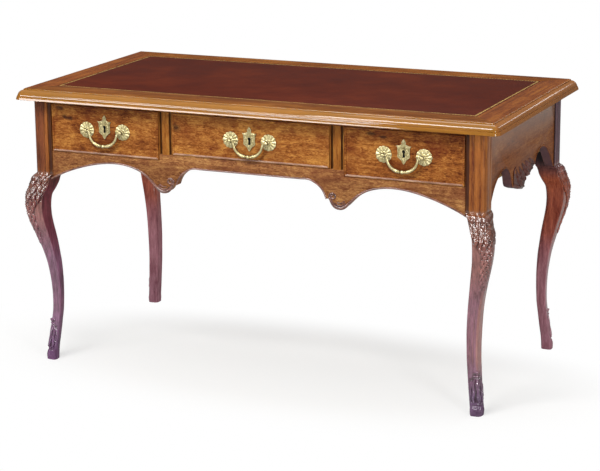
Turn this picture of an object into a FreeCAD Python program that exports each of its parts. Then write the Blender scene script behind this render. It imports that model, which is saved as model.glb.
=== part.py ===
"""Bureau plat: a walnut writing desk with three frieze drawers and a leather top.

Millimetres. X runs along the desk, the drawers face -Y, Z is up, and the origin lies on
the floor under the middle of the top.
"""
import FreeCAD, Part
import math
import os
from FreeCAD import Vector

os.makedirs("parts", exist_ok=True)

# Overall sizes
desk_width = 1396.0
desk_depth = 722.0
desk_height = 780.0
side_overhang = 47.0
front_overhang = 34.0

# Top: a mitred, moulded border round a panel that carries the leather
top_thickness = 30.0
border_width = 88.0
moulding_width = 24.0
corner_ease = 1.0
moulding_quirk = 1.5
ovolo_foot = 7.0
ovolo_fall = 16.0
nose_step = 1.5
nose_bulge = 5.0
nose_fall = 23.5
panel_thickness = 22.0
leather_thickness = 2.0
leather_gap = 0.4
tongue_thickness = 7.0
tongue_length = 9.0
tongue_rise = 8.0
tongue_end_gap = 1.0

# Legs: a square post that runs on down as a cabriole leg, set on the diagonal
post_size = 52.0
post_corner_radius = 16.0
post_drop = 205.0
post_overlap = 22.0
knee_reach = 37.0
knee_depth = 72.0
knee_width = 66.0
ankle_setback = 29.0
ankle_depth = 31.0
ankle_width = 42.0
hoof_width = 42.0
foot_setback = 7.0
foot_depth = 34.0
foot_width = 38.0

# Frieze boards
apron_setback = 1.0
apron_thickness = 24.0
side_apron_thickness = 25.0
tenon_length = 28.0
tenon_thickness = 9.0
tenon_shoulder = 14.0
tenon_end_gap = 1.0
rail_tenon_length = 14.0
top_rail_height = 10.0
top_rail_depth = 60.0
centre_opening_width = 458.0
centre_opening_height = 116.0
side_opening_height = 133.0
stile_width = 40.0
stile_tenon_length = 10.0
stile_tenon_width = 20.0
stile_tenon_thickness = 8.0

# Shaped lower edges, as drops below the underside of the top
centre_drop = 160.0
pendant_drop = 231.0
pendant_shift = 9.0
pendant_scroll_run = 31.0
pendant_toe_run = 21.0
pendant_shoulder_drop = 205.0
pendant_heel_drop = 220.5
scroll_run = 79.0
arch_drop = 165.0
knee_drop = 219.0
leaf_front_run = 90.0
leaf_front_drop = 189.5
leaf_drop = 209.5
leaf_notch_run = 23.0
leaf_notch_drop = 183.0
leaf_back_run = 96.0
leaf_back_drop = 165.0
side_arch_drop = 126.0
side_knee_drop = 205.0
scroll_start_fall = 2.5
scroll_middle_fall = 17.0
scroll_end_fall = 34.0
scroll_lip_run = 10.0
scroll_lip_fall = 2.0
toe_rise = 24.0
arch_toe_fall = 9.0
arch_knee_fall = 13.0
front_knee_fall = 34.0
front_hip_fall = 15.0
front_crown_fall = 6.5
front_turn_fall = 22.0
front_foot_fall = 40.0
leaf_front_rise = 9.5
leaf_belly_rise = 1.3
leaf_heel_rise = 6.5
lobe_belly_fall = 2.2
lobe_back_fall = 0.8
back_foot_fall = 27.0
back_turn_fall = 14.0
back_crown_fall = 4.0
back_hip_fall = 21.0
back_knee_fall = 40.0

# Inner framing
partition_thickness = 18.0
partition_drop = 158.0
partition_tongue = 8.0
runner_width = 24.0
runner_height = 15.0
guide_height = 33.0
kicker_height = 10.0
stop_width = 20.0
stop_height = 24.0
block_size = 25.0
block_length = 60.0
block_inset = 150.0
back_block_spacing = 430.0
screw_radius = 2.5
screw_head_radius = 5.0
screw_head_height = 3.0
screw_bite = 12.0
peg_radius = 3.5
peg_length = 30.0
peg_spacing = 28.0

# Drawers
drawer_gap = 1.5
drawer_side_inset = 0.5
guide_play = 1.0
running_gap = 0.3
drawer_back_space = 28.0
front_thickness = 22.0
bead_width = 5.0
bead_height = 2.0
side_thickness = 10.0
back_thickness = 10.0
bottom_thickness = 7.0
bottom_rise = 5.0
bottom_groove = 5.0
kicker_gap = 1.0
back_fall = 4.0
tail_count = 3
tail_length = 15.0
tail_root = 18.0
tail_tip = 26.0

# Lock and escutcheon
key_drop = 59.0
escutcheon_height = 66.0
escutcheon_width = 42.0
escutcheon_thickness = 2.0
escutcheon_rise = 4.0
keyhole_radius = 3.5
keyhole_slot = 3.6
keyhole_length = 12.0
lock_width = 70.0
lock_height = 78.0
lock_depth = 12.0
bolt_width = 20.0
bolt_thickness = 6.0
bolt_length = 43.0
bolt_play = 0.3
bolt_mortise_gap = 1.0

# Drop handles
side_handle_drop = 65.0
centre_handle_drop = 60.0
rosette_spacing = 110.0
rosette_radius = 22.5
rosette_edge = 1.6
rosette_crown = 5.0
post_spacing = 106.0
shank_radius = 3.0
shank_gap = 0.05
eye_radius = 6.0
eye_gap = 1.0
nut_radius = 6.5
nut_thickness = 4.0
shank_end = 2.0
pin_radius = 2.0
pin_gap = 0.05
bail_radius = 3.4
bail_half_width = 42.5
bail_drop = 40.5
knop_radius = 5.2
knop_length = 9.0
collar_radius = 4.6
collar_length = 3.0
collar_offset = 11.0

# Lines and planes that follow from the sizes
half_top_w = desk_width / 2
half_top_d = desk_depth / 2
nosing_radius = moulding_width + corner_ease
half_w = half_top_w - side_overhang
half_d = half_top_d - front_overhang
underside = desk_height - top_thickness
post_face_x = half_w - post_size
post_face_y = half_d - post_size
front_face = -half_d + apron_setback
front_back = front_face + apron_thickness
back_inner = half_d - apron_setback - apron_thickness
side_inner = half_w - apron_setback - side_apron_thickness
rail_under = underside - top_rail_height
centre_floor = rail_under - centre_opening_height
side_floor = rail_under - side_opening_height
stile_inner = centre_opening_width / 2
stile_outer = stile_inner + stile_width
stile_middle = (stile_inner + stile_outer) / 2
pendant_x = stile_middle + pendant_shift
kicker_under = rail_under - kicker_height
leather_half_x = half_top_w - border_width
leather_half_y = half_top_d - border_width
panel_under = desk_height - leather_thickness - panel_thickness
tongue_under = panel_under + tongue_rise
drawer_end = back_inner - drawer_back_space
pivot_y = front_face - rosette_crown - eye_gap - eye_radius
key_z = rail_under - key_drop


def box(low, high):
    size = Vector(*high) - Vector(*low)
    return Part.makeBox(size.x, size.y, size.z, Vector(*low))


def mirrored_box(side, low, high):
    """A box given for the right half (side 1), or its mirror image (side -1)."""
    if side > 0:
        return box(low, high)
    return box((-high[0], low[1], low[2]), (-low[0], high[1], high[2]))


def rod(radius, start, end):
    along = Vector(*end) - Vector(*start)
    return Part.makeCylinder(radius, along.Length, Vector(*start), along)


def line(start, end):
    return Part.makeLine(Vector(*start), Vector(*end))


def arc(start, middle, end):
    return Part.Arc(Vector(*start), Vector(*middle), Vector(*end)).toShape()


def curve(points):
    spline = Part.BSplineCurve()
    spline.interpolate([Vector(*point) for point in points])
    return spline.toShape()


def prism(edges, direction):
    wire = Part.Wire(Part.__sortEdges__(edges))
    return Part.Face(wire).extrude(Vector(*direction))


def outline(points):
    closed = points + points[:1]
    return [line(a, b) for a, b in zip(closed, closed[1:])]


def fused(shapes):
    whole = shapes[0]
    for shape in shapes[1:]:
        whole = whole.fuse(shape)
    return whole.removeSplitter()


def export(node, shape):
    shape.exportStep("parts/" + node + ".step")


def group(shapes):
    return Part.makeCompound(shapes)


# Top

def moulding_edges(reach, outer_only):
    """The border's section in the YZ plane, from the nosing inwards, facing -Y."""
    top = desk_height
    width = nosing_radius if outer_only else border_width

    def point(inward, fall):
        return (0, inward - reach, top - fall)

    quirk = point(moulding_width, moulding_quirk)
    ovolo_middle = point((moulding_width + ovolo_foot) / 2, ovolo_fall * 0.42)
    ovolo_end = point(ovolo_foot, ovolo_fall)
    nose_start = point(nose_bulge, ovolo_fall + nose_step)
    nose = point(0, nose_fall)
    nose_end = point(nose_bulge, top_thickness)
    return [
        line(point(width, 0), point(moulding_width, 0)),
        line(point(moulding_width, 0), quirk),
        arc(quirk, ovolo_middle, ovolo_end),
        line(ovolo_end, nose_start),
        arc(nose_start, nose, nose_end),
        line(nose_end, point(width, top_thickness)),
        line(point(width, top_thickness), point(width, 0)),
    ]


def border_piece(half_run, reach, turn):
    """One side of the border, made facing -Y and then turned about Z."""
    straight = half_run - nosing_radius
    bar = prism(moulding_edges(reach, False), (2 * straight, 0, 0))
    bar.translate(Vector(-straight, 0, 0))
    corner_y = nosing_radius - reach
    inner_y = border_width - reach
    inner_x = half_run - border_width
    parts = []
    for end in (1, -1):
        corner = (end * straight, corner_y, 0)
        mitre = outline([corner, (end * inner_x, inner_y, 0), (end * straight, inner_y, 0)])
        bar = bar.cut(prism(mitre, (0, 0, desk_height)))
        wire = Part.Wire(Part.__sortEdges__(moulding_edges(reach, True)))
        face = Part.Face(wire)
        face.translate(Vector(end * straight, 0, 0))
        parts.append(face.revolve(Vector(*corner), Vector(0, 0, 1), end * 45))
    piece = fused([bar] + parts)
    groove_end = inner_x + tongue_length + tongue_end_gap
    groove_y = inner_y - tongue_length - tongue_end_gap
    groove = box((-groove_end, groove_y, tongue_under), (groove_end, inner_y, tongue_under + tongue_thickness))
    piece = piece.cut(groove)
    piece.rotate(Vector(0, 0, 0), Vector(0, 0, 1), turn)
    return piece


borders = {
    "top_border_front": border_piece(half_top_w, half_top_d, 0),
    "top_border_right": border_piece(half_top_d, half_top_w, 90),
    "top_border_back": border_piece(half_top_w, half_top_d, 180),
    "top_border_left": border_piece(half_top_d, half_top_w, 270),
}

panel = box((-leather_half_x, -leather_half_y, panel_under),
            (leather_half_x, leather_half_y, desk_height - leather_thickness))
tongue = box((-leather_half_x - tongue_length, -leather_half_y - tongue_length, tongue_under),
             (leather_half_x + tongue_length, leather_half_y + tongue_length, tongue_under + tongue_thickness))
top_panel = fused([panel, tongue])
writing_leather = box((leather_gap - leather_half_x, leather_gap - leather_half_y, desk_height - leather_thickness),
                      (leather_half_x - leather_gap, leather_half_y - leather_gap, desk_height))


# Legs

def leg_section(side, face, height, outer, depth, width, shoulder):
    """A section at one height, with its nose outwards along the diagonal.

    shoulder is 0.25 for a square set cornerwise and 0.35 for an ellipse.
    """
    inner = outer - depth
    middle = outer - depth / 2
    local = [
        (outer, 0),
        (middle + depth * shoulder, width * shoulder),
        (middle, width / 2),
        (middle - depth * shoulder, width * shoulder),
        (inner, 0),
        (middle - depth * shoulder, -width * shoulder),
        (middle, -width / 2),
        (middle + depth * shoulder, -width * shoulder),
    ]
    half = math.sqrt(0.5)
    points = []
    for out, across in local:
        x = side * (half_w + out * half) - face * across * half
        y = face * (half_d + out * half) + side * across * half
        points.append(Vector(x, y, height))
    spline = Part.BSplineCurve()
    spline.interpolate(points, PeriodicFlag=True)
    return Part.Wire(spline.toShape())


def leg(side, face):
    """A post and its cabriole leg; side is the sign of X, face the sign of Y."""
    knee_top = underside - post_drop
    diagonal = post_size * math.sqrt(2)
    stations = [
        (0.00, -foot_setback, foot_depth, foot_width, 0.33),
        (0.05, -foot_setback - 2, foot_depth, hoof_width - 2, 0.33),
        (0.09, -foot_setback - 8.5, ankle_depth, hoof_width - 1, 0.33),
        (0.17, -ankle_setback + 7, ankle_depth, ankle_width - 1, 0.31),
        (0.27, -ankle_setback, ankle_depth, ankle_width, 0.31),
        (0.40, -ankle_setback + 1, ankle_depth + 4, ankle_width + 2.5, 0.31),
        (0.52, -ankle_setback + 11, ankle_depth + 10.5, ankle_width + 4, 0.31),
        (0.63, knee_reach - 36, knee_depth - 20, knee_width - 15.5, 0.31),
        (0.73, knee_reach - 13, knee_depth - 8.5, knee_width - 7.5, 0.31),
        (0.825, knee_reach, knee_depth, knee_width, 0.31),
        (0.92, knee_reach - 12.5, knee_depth + 7, knee_width, 0.30),
        (0.955, knee_reach - 21, knee_depth + 8, knee_width + 2, 0.28),
        (1.0, -4, diagonal - 8, diagonal - 8, 0.262),
    ]
    sections = []
    for share, outer, depth, width, shoulder in stations:
        sections.append(leg_section(side, face, share * knee_top, outer, depth, width, shoulder))
    inside = diagonal - 14
    sections.append(leg_section(side, face, knee_top + post_overlap, -7, inside, inside, 0.262))
    shank = Part.makeLoft(sections, True, False)
    corner_x, corner_y = side * half_w, face * half_d
    inner_x, inner_y = side * post_face_x, face * post_face_y
    post = box((min(corner_x, inner_x), min(corner_y, inner_y), knee_top),
               (max(corner_x, inner_x), max(corner_y, inner_y), underside))
    for edge in post.Edges:
        middle = edge.CenterOfMass
        upright = abs(edge.BoundBox.ZLength - post_drop) < 0.01
        if upright and abs(middle.x - corner_x) < 0.01 and abs(middle.y - corner_y) < 0.01:
            post = post.makeFillet(post_corner_radius, [edge])
            break
    return fused([post, shank])


# Shaped boards of the frieze

def front_lower_edge(drop_base):
    """Right half of the lower edge of the long aprons, in the XZ plane at Y 0."""
    heel = pendant_x - pendant_scroll_run
    toe = pendant_x + pendant_toe_run
    span = post_face_x - toe

    def point(x, drop):
        return (x, 0, drop_base - drop)

    start = point(heel - scroll_run, centre_drop)
    lip = point(heel - scroll_lip_run, pendant_shoulder_drop + scroll_lip_fall)
    shoulder = point(heel, pendant_shoulder_drop)
    tip = point(pendant_x, pendant_drop)
    outer = point(toe, pendant_heel_drop)
    return [
        line(point(0, centre_drop), start),
        curve([start, point(heel - scroll_run * 0.66, centre_drop + scroll_start_fall),
               point(heel - scroll_run * 0.35, centre_drop + scroll_middle_fall),
               point(heel - scroll_run * 0.19, centre_drop + scroll_end_fall), lip]),
        line(lip, shoulder),
        arc(shoulder, tip, outer),
        curve([outer, point(toe + span * 0.07, pendant_heel_drop - toe_rise),
               point(toe + span * 0.19, arch_drop + arch_toe_fall), point(toe + span * 0.38, arch_drop),
               point(toe + span * 0.66, arch_drop + arch_knee_fall), point(post_face_x, knee_drop)]),
    ]


def side_lower_edge(drop_base):
    """Lower edge of the side aprons from front to back, in the YZ plane at X 0.

    An arch at each end, and between them a leaf that is plain in front and has two lobes behind.
    """
    front_span = post_face_y - leaf_front_run
    back_span = post_face_y - leaf_back_run
    tip_run = leaf_front_run + leaf_notch_run
    lobe_run = leaf_back_run - leaf_notch_run

    def point(y, drop):
        return (0, y, drop_base - drop)

    def front(share, drop):
        return point(-leaf_front_run - front_span * share, drop)

    def back(share, drop):
        return point(leaf_back_run + back_span * share, drop)

    corner = point(-leaf_front_run, leaf_front_drop)
    notch = point(leaf_notch_run, leaf_notch_drop)
    root = point(leaf_back_run, leaf_back_drop)
    front_arch = curve([front(1, side_knee_drop), front(0.87, side_arch_drop + front_knee_fall),
                        front(0.71, side_arch_drop + front_hip_fall), front(0.41, side_arch_drop),
                        front(0.25, side_arch_drop + front_crown_fall), front(0.14, side_arch_drop + front_turn_fall),
                        front(0.08, side_arch_drop + front_foot_fall), corner])
    leaf_tip = curve([corner, point(-leaf_front_run + tip_run * 0.28, leaf_drop - leaf_front_rise),
                      point(-leaf_front_run + tip_run * 0.60, leaf_drop - leaf_belly_rise),
                      point(-leaf_front_run + tip_run * 0.78, leaf_drop),
                      point(-leaf_front_run + tip_run * 0.88, leaf_drop - leaf_heel_rise), notch])
    lobe = curve([notch, point(leaf_notch_run + lobe_run * 0.18, leaf_notch_drop + lobe_belly_fall),
                  point(leaf_notch_run + lobe_run * 0.36, leaf_notch_drop + lobe_back_fall), root])
    back_arch = curve([root, back(0.06, side_arch_drop + back_foot_fall), back(0.13, side_arch_drop + back_turn_fall),
                       back(0.37, side_arch_drop + back_crown_fall), back(0.66, side_arch_drop + back_hip_fall),
                       back(0.78, side_arch_drop + back_knee_fall), back(1, side_knee_drop)])
    return [front_arch, leaf_tip, lobe, back_arch]


def end_tenon(side, y_middle, low, high, growth):
    """Tenon at an end of a long apron; growth lengthens it into its mortise."""
    half = tenon_thickness / 2
    return mirrored_box(side, (post_face_x, y_middle - half, low),
                        (post_face_x + tenon_length + growth, y_middle + half, high))


def side_tenon(side, face, growth):
    """Tenon at an end of a side apron."""
    middle = half_w - apron_setback - side_apron_thickness / 2
    half = tenon_thickness / 2
    low = underside - side_knee_drop + tenon_shoulder
    far = post_face_y + tenon_length + growth
    ends = sorted((face * post_face_y, face * far))
    return mirrored_box(side, (middle - half, ends[0], low),
                        (middle + half, ends[1], underside - tenon_shoulder))


def rail_tenon(side, growth):
    return mirrored_box(side, (post_face_x, front_face + tenon_thickness, rail_under),
                        (post_face_x + rail_tenon_length + growth, -post_face_y - tenon_thickness, underside))


front_tenon_low = underside - knee_drop + tenon_shoulder
front_tenon_high = side_floor - 2
back_tenon_high = underside - tenon_shoulder
front_tenon_y = front_face + apron_thickness / 2
back_tenon_y = -front_tenon_y


def stile_tenon(side, low, high):
    half = stile_tenon_thickness / 2
    return mirrored_box(side, (stile_middle - stile_tenon_width / 2, front_tenon_y - half, low),
                        (stile_middle + stile_tenon_width / 2, front_tenon_y + half, high))


def long_apron(top_edges, face_y, tenon_y, tenon_high):
    edges = list(top_edges)
    for edge in front_lower_edge(underside):
        edges.append(edge)
        edges.append(edge.mirror(Vector(0, 0, 0), Vector(1, 0, 0)))
    board = prism(edges, (0, apron_thickness, 0))
    board.translate(Vector(0, face_y, 0))
    tenons = [end_tenon(side, tenon_y, front_tenon_low, tenon_high, 0) for side in (1, -1)]
    return fused([board] + tenons)


apron_foot = underside - knee_drop
front_top = [(-post_face_x, apron_foot), (-post_face_x, side_floor), (-stile_outer, side_floor),
             (-stile_outer, centre_floor), (stile_outer, centre_floor), (stile_outer, side_floor),
             (post_face_x, side_floor), (post_face_x, apron_foot)]
back_top = [(-post_face_x, apron_foot), (-post_face_x, underside),
            (post_face_x, underside), (post_face_x, apron_foot)]


def open_line(points):
    places = [(x, 0, z) for x, z in points]
    return [line(a, b) for a, b in zip(places, places[1:])]


front_apron = long_apron(open_line(front_top), front_face, front_tenon_y, front_tenon_high)
back_apron = long_apron(open_line(back_top), back_inner, back_tenon_y, back_tenon_high)

front_top_rail = fused([
    box((-post_face_x, front_face, rail_under), (post_face_x, front_face + top_rail_depth, underside)),
    rail_tenon(1, 0), rail_tenon(-1, 0)])


def side_apron(side):
    foot = underside - side_knee_drop
    edges = side_lower_edge(underside) + [
        line((0, post_face_y, foot), (0, post_face_y, underside)),
        line((0, post_face_y, underside), (0, -post_face_y, underside)),
        line((0, -post_face_y, underside), (0, -post_face_y, foot)),
    ]
    board = prism(edges, (side_apron_thickness, 0, 0))
    board.translate(Vector(side_inner if side > 0 else -side_inner - side_apron_thickness, 0, 0))
    return fused([board, side_tenon(side, 1, 0), side_tenon(side, -1, 0)])


side_aprons = {1: side_apron(1), -1: side_apron(-1)}


def partition(side):
    """Board behind a stile, between two drawers."""
    inner = stile_middle - partition_thickness / 2
    outer = stile_middle + partition_thickness / 2
    low = underside - partition_drop
    rail_back = front_face + top_rail_depth
    return fused([
        mirrored_box(side, (inner, front_back, low), (outer, back_inner, rail_under)),
        mirrored_box(side, (inner, rail_back, rail_under), (outer, back_inner, underside)),
        mirrored_box(side, (inner, front_back - partition_tongue, centre_floor), (outer, front_back, rail_under)),
        mirrored_box(side, (inner, back_inner, centre_floor), (outer, back_inner + partition_tongue, rail_under)),
    ])


def stile(side):
    post = mirrored_box(side, (stile_inner, front_face, centre_floor), (stile_outer, front_back, rail_under))
    foot = stile_tenon(side, centre_floor - stile_tenon_length, centre_floor)
    return fused([post, foot]).cut(partition(side))


partitions = {side: partition(side) for side in (1, -1)}
stiles = {side: stile(side) for side in (1, -1)}
for side in (1, -1):
    front_apron = front_apron.cut(stile_tenon(side, centre_floor - stile_tenon_length, centre_floor))
    back_apron = back_apron.cut(partitions[side])


# Pegs through the tenons

def peg_places():
    """Start and end of each peg, from the show face inwards."""
    places = []
    peg_x = post_face_x + tenon_length / 2
    peg_y = post_face_y + tenon_length / 2
    front_middle = (front_tenon_low + front_tenon_high) / 2
    back_middle = (front_tenon_low + back_tenon_high) / 2
    side_middle = back_middle + tenon_shoulder
    for side in (1, -1):
        for step in (-0.5, 0.5):
            rise = step * peg_spacing
            low_z = front_middle + rise
            places.append(((side * peg_x, -half_d, low_z), (side * peg_x, peg_length - half_d, low_z)))
            high_z = back_middle + 2 * rise
            places.append(((side * peg_x, half_d, high_z), (side * peg_x, half_d - peg_length, high_z)))
            side_z = side_middle + 2 * rise
            for face in (1, -1):
                places.append(((side * half_w, face * peg_y, side_z),
                               (side * (half_w - peg_length), face * peg_y, side_z)))
    return places


tenon_pegs = [rod(peg_radius, start, end) for start, end in peg_places()]
peg_holes = group(tenon_pegs)
front_apron = front_apron.cut(peg_holes)
back_apron = back_apron.cut(peg_holes)
for side in (1, -1):
    side_aprons[side] = side_aprons[side].cut(peg_holes)


# Legs with their mortises, each knee scribed to the two aprons that meet it

legs = {}
for face, face_name in ((-1, "front"), (1, "back")):
    for side, side_name in ((-1, "left"), (1, "right")):
        mortises = [side_tenon(side, face, tenon_end_gap), peg_holes, side_aprons[side]]
        mortises.append(front_apron if face < 0 else back_apron)
        if face < 0:
            mortises.append(end_tenon(side, front_tenon_y, front_tenon_low, front_tenon_high, tenon_end_gap))
            mortises.append(rail_tenon(side, tenon_end_gap))
        else:
            mortises.append(end_tenon(side, back_tenon_y, front_tenon_low, back_tenon_high, tenon_end_gap))
        whole = leg(side, face)
        for mortise in mortises:
            whole = whole.cut(mortise)
        legs["leg_" + face_name + "_" + side_name] = whole


# Runners, guides, kickers and stops

drawers = {
    "left": {"low": -post_face_x, "high": -stile_outer, "floor": side_floor, "handle": side_handle_drop},
    "centre": {"low": -stile_inner, "high": stile_inner, "floor": centre_floor, "handle": centre_handle_drop},
    "right": {"low": stile_outer, "high": post_face_x, "floor": side_floor, "handle": side_handle_drop},
}
runners, guides, kickers, stops = [], [], [], []
partition_inner = stile_middle - partition_thickness / 2
partition_outer = stile_middle + partition_thickness / 2
rail_back = front_face + top_rail_depth


def bearers(side, edge, carrier, floor, guide_low, guide_ends):
    """Runner, guide, kicker and stop under one side of a drawer.

    edge is the opening's edge, carrier the face that the guide is fixed to.
    """
    inwards = 1 if edge > carrier else -1
    guide_face = edge + inwards * (drawer_gap + drawer_side_inset - guide_play)
    runner_start = carrier if guide_low > floor - runner_height else guide_face
    runner_face = guide_face + inwards * runner_width
    low, high = sorted((runner_start, runner_face))
    runners.append(mirrored_box(side, (low, front_back, floor - runner_height), (high, back_inner, floor)))
    guide_low_x, guide_high_x = sorted((carrier, guide_face))
    guides.append(mirrored_box(side, (guide_low_x, guide_ends[0], guide_low),
                               (guide_high_x, guide_ends[1], floor + guide_height)))
    kicker_low, kicker_high = sorted((guide_face, runner_face))
    kickers.append(mirrored_box(side, (kicker_low, rail_back, kicker_under), (kicker_high, back_inner, underside)))
    stop_low, stop_high = sorted((guide_face, guide_face + inwards * stop_width))
    stops.append(mirrored_box(side, (stop_low, drawer_end + running_gap, floor),
                              (stop_high, back_inner, floor + stop_height)))


for side in (1, -1):
    bearers(side, stile_inner, partition_inner, centre_floor, centre_floor, (front_back, back_inner))
    bearers(side, stile_outer, partition_outer, side_floor, side_floor, (front_back, back_inner))
    bearers(side, post_face_x, side_inner, side_floor, side_floor - runner_height, (-post_face_y, post_face_y))


# Glue blocks and screws that hold the top

blocks, screws = [], []


def fixing_block(low, high):
    block = box(low, high)
    x, y = (low[0] + high[0]) / 2, (low[1] + high[1]) / 2
    head = rod(screw_head_radius, (x, y, low[2]), (x, y, low[2] + screw_head_height))
    shank = rod(screw_radius, (x, y, low[2] + screw_head_height), (x, y, underside + screw_bite))
    screw = head.fuse(shank)
    blocks.append(block.cut(screw))
    screws.append(screw)


for side in (1, -1):
    edges_x = sorted((side * side_inner, side * (side_inner - block_size)))
    for face in (1, -1):
        middle = face * block_inset
        fixing_block((edges_x[0], middle - block_length / 2, underside - block_size),
                     (edges_x[1], middle + block_length / 2, underside))
for step in (-1, 0, 1):
    middle = step * back_block_spacing
    fixing_block((middle - block_length / 2, back_inner - block_size, underside - block_size),
                 (middle + block_length / 2, back_inner, underside))
for screw in screws:
    top_panel = top_panel.cut(screw)
    for node in borders:
        borders[node] = borders[node].cut(screw)


# Drawers

def keyhole(x, depth_from, depth_to):
    slot = box((x - keyhole_slot / 2, depth_from, key_z - keyhole_length / 2),
               (x + keyhole_slot / 2, depth_to, key_z + keyhole_length / 2))
    eye_z = key_z + keyhole_length / 2 - keyhole_radius
    return rod(keyhole_radius, (x, depth_from, eye_z), (x, depth_to, eye_z)).fuse(slot)


def tails(x_low, start, end, low, high):
    """Dovetails along one end of a drawer side, widening from start to end."""
    pitch = (high - low) / tail_count
    pieces = []
    for index in range(tail_count):
        z = low + (index + 0.5) * pitch
        corners = [(x_low, start, z - tail_root / 2), (x_low, start, z + tail_root / 2),
                   (x_low, end, z + tail_tip / 2), (x_low, end, z - tail_tip / 2)]
        pieces.append(prism(outline(corners), (side_thickness, 0, 0)))
    return pieces


def escutcheon(x):
    """Shield-shaped plate: pointed crown, two ears, rounded body and pointed foot."""
    z = key_z + escutcheon_rise
    top = z + escutcheon_height / 2
    low = z - escutcheon_height / 2
    half = escutcheon_width / 2
    y = front_face
    ear = (x + half, y, top - 20)
    neck = (x + half * 0.5, y, top - 19)
    crown = (x, y, top)
    hip = (x + half * 0.9, y, low + 22)
    foot = (x, y, low)
    right = [
        arc(crown, (x + half * 0.42, y, top - 9), neck),
        line(neck, ear),
        line(ear, hip),
        arc(hip, (x + half * 0.55, y, low + 10), foot),
    ]
    left = [edge.mirror(Vector(x, 0, 0), Vector(1, 0, 0)) for edge in right]
    plate = prism(right + left, (0, -escutcheon_thickness, 0))
    return plate.cut(keyhole(x, front_face - escutcheon_thickness, front_face))


def rosette(x, z, post_x):
    """Domed disc behind a handle post, bored for the post's shank."""
    edges = [
        line((0, 0, 0), (rosette_radius, 0, 0)),
        line((rosette_radius, 0, 0), (rosette_radius, 0, rosette_edge)),
        arc((rosette_radius, 0, rosette_edge), (rosette_radius * 0.55, 0, rosette_crown * 0.82),
            (0, 0, rosette_crown)),
        line((0, 0, rosette_crown), (0, 0, 0)),
    ]
    face = Part.Face(Part.Wire(Part.__sortEdges__(edges)))
    disc = face.revolve(Vector(0, 0, 0), Vector(0, 0, 1), 360)
    disc.rotate(Vector(0, 0, 0), Vector(1, 0, 0), 90)
    disc.translate(Vector(x, front_face, z))
    bore = rod(shank_radius + shank_gap, (post_x, front_face, z), (post_x, front_face - 2 * rosette_crown, z))
    return disc.cut(bore)


def handle_post(x, z):
    """Eye bolt: a ball bored for the bail's pin, on a shank through the drawer front."""
    ball = Part.makeSphere(eye_radius, Vector(x, pivot_y, z))
    inner_end = front_face + front_thickness + nut_thickness + shank_end
    shank = rod(shank_radius, (x, pivot_y, z), (x, inner_end, z))
    bore = rod(pin_radius + pin_gap, (x - 2 * eye_radius, pivot_y, z), (x + 2 * eye_radius, pivot_y, z))
    return ball.fuse(shank).cut(bore)


def handle_nut(x, z):
    start = front_face + front_thickness
    corners = []
    for index in range(4):
        angle = math.radians(45 + 90 * index)
        corners.append((x + nut_radius * math.sqrt(2) * math.cos(angle), start,
                        z + nut_radius * math.sqrt(2) * math.sin(angle)))
    nut = prism(outline(corners), (0, nut_thickness, 0))
    return nut.cut(rod(shank_radius + shank_gap, (x, start, z), (x, start + nut_thickness, z)))


def bail(x, z):
    """Drop handle: a round bow with a turned knop, hung on a pin at each end."""
    path = Part.Wire([arc((x - bail_half_width, pivot_y, z), (x, pivot_y, z - bail_drop),
                          (x + bail_half_width, pivot_y, z))])
    radius = (bail_half_width ** 2 + bail_drop ** 2) / (2 * bail_drop)
    tilt = math.asin((radius - bail_drop) / radius)
    tangent = Vector(math.sin(tilt), 0, -math.cos(tilt))
    ring = Part.Wire(Part.makeCircle(bail_radius, Vector(x - bail_half_width, pivot_y, z), tangent))
    bow = path.makePipeShell([ring], True, False)
    pieces = [bow]
    low = z - bail_drop
    pieces.append(rod(knop_radius, (x - knop_length / 2, pivot_y, low), (x + knop_length / 2, pivot_y, low)))
    for side in (1, -1):
        start = side * (collar_offset - collar_length / 2)
        end = side * (collar_offset + collar_length / 2)
        lift = radius - math.sqrt(radius ** 2 - collar_offset ** 2)
        pieces.append(rod(collar_radius, (x + start, pivot_y, low + lift), (x + end, pivot_y, low + lift)))
        hub = Part.makeSphere(bail_radius, Vector(x + side * bail_half_width, pivot_y, z))
        pin_end = side * (post_spacing / 2 + eye_radius)
        pieces.append(hub)
        pieces.append(rod(pin_radius, (x + side * bail_half_width, pivot_y, z), (x + pin_end, pivot_y, z)))
    return fused(pieces)


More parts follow.
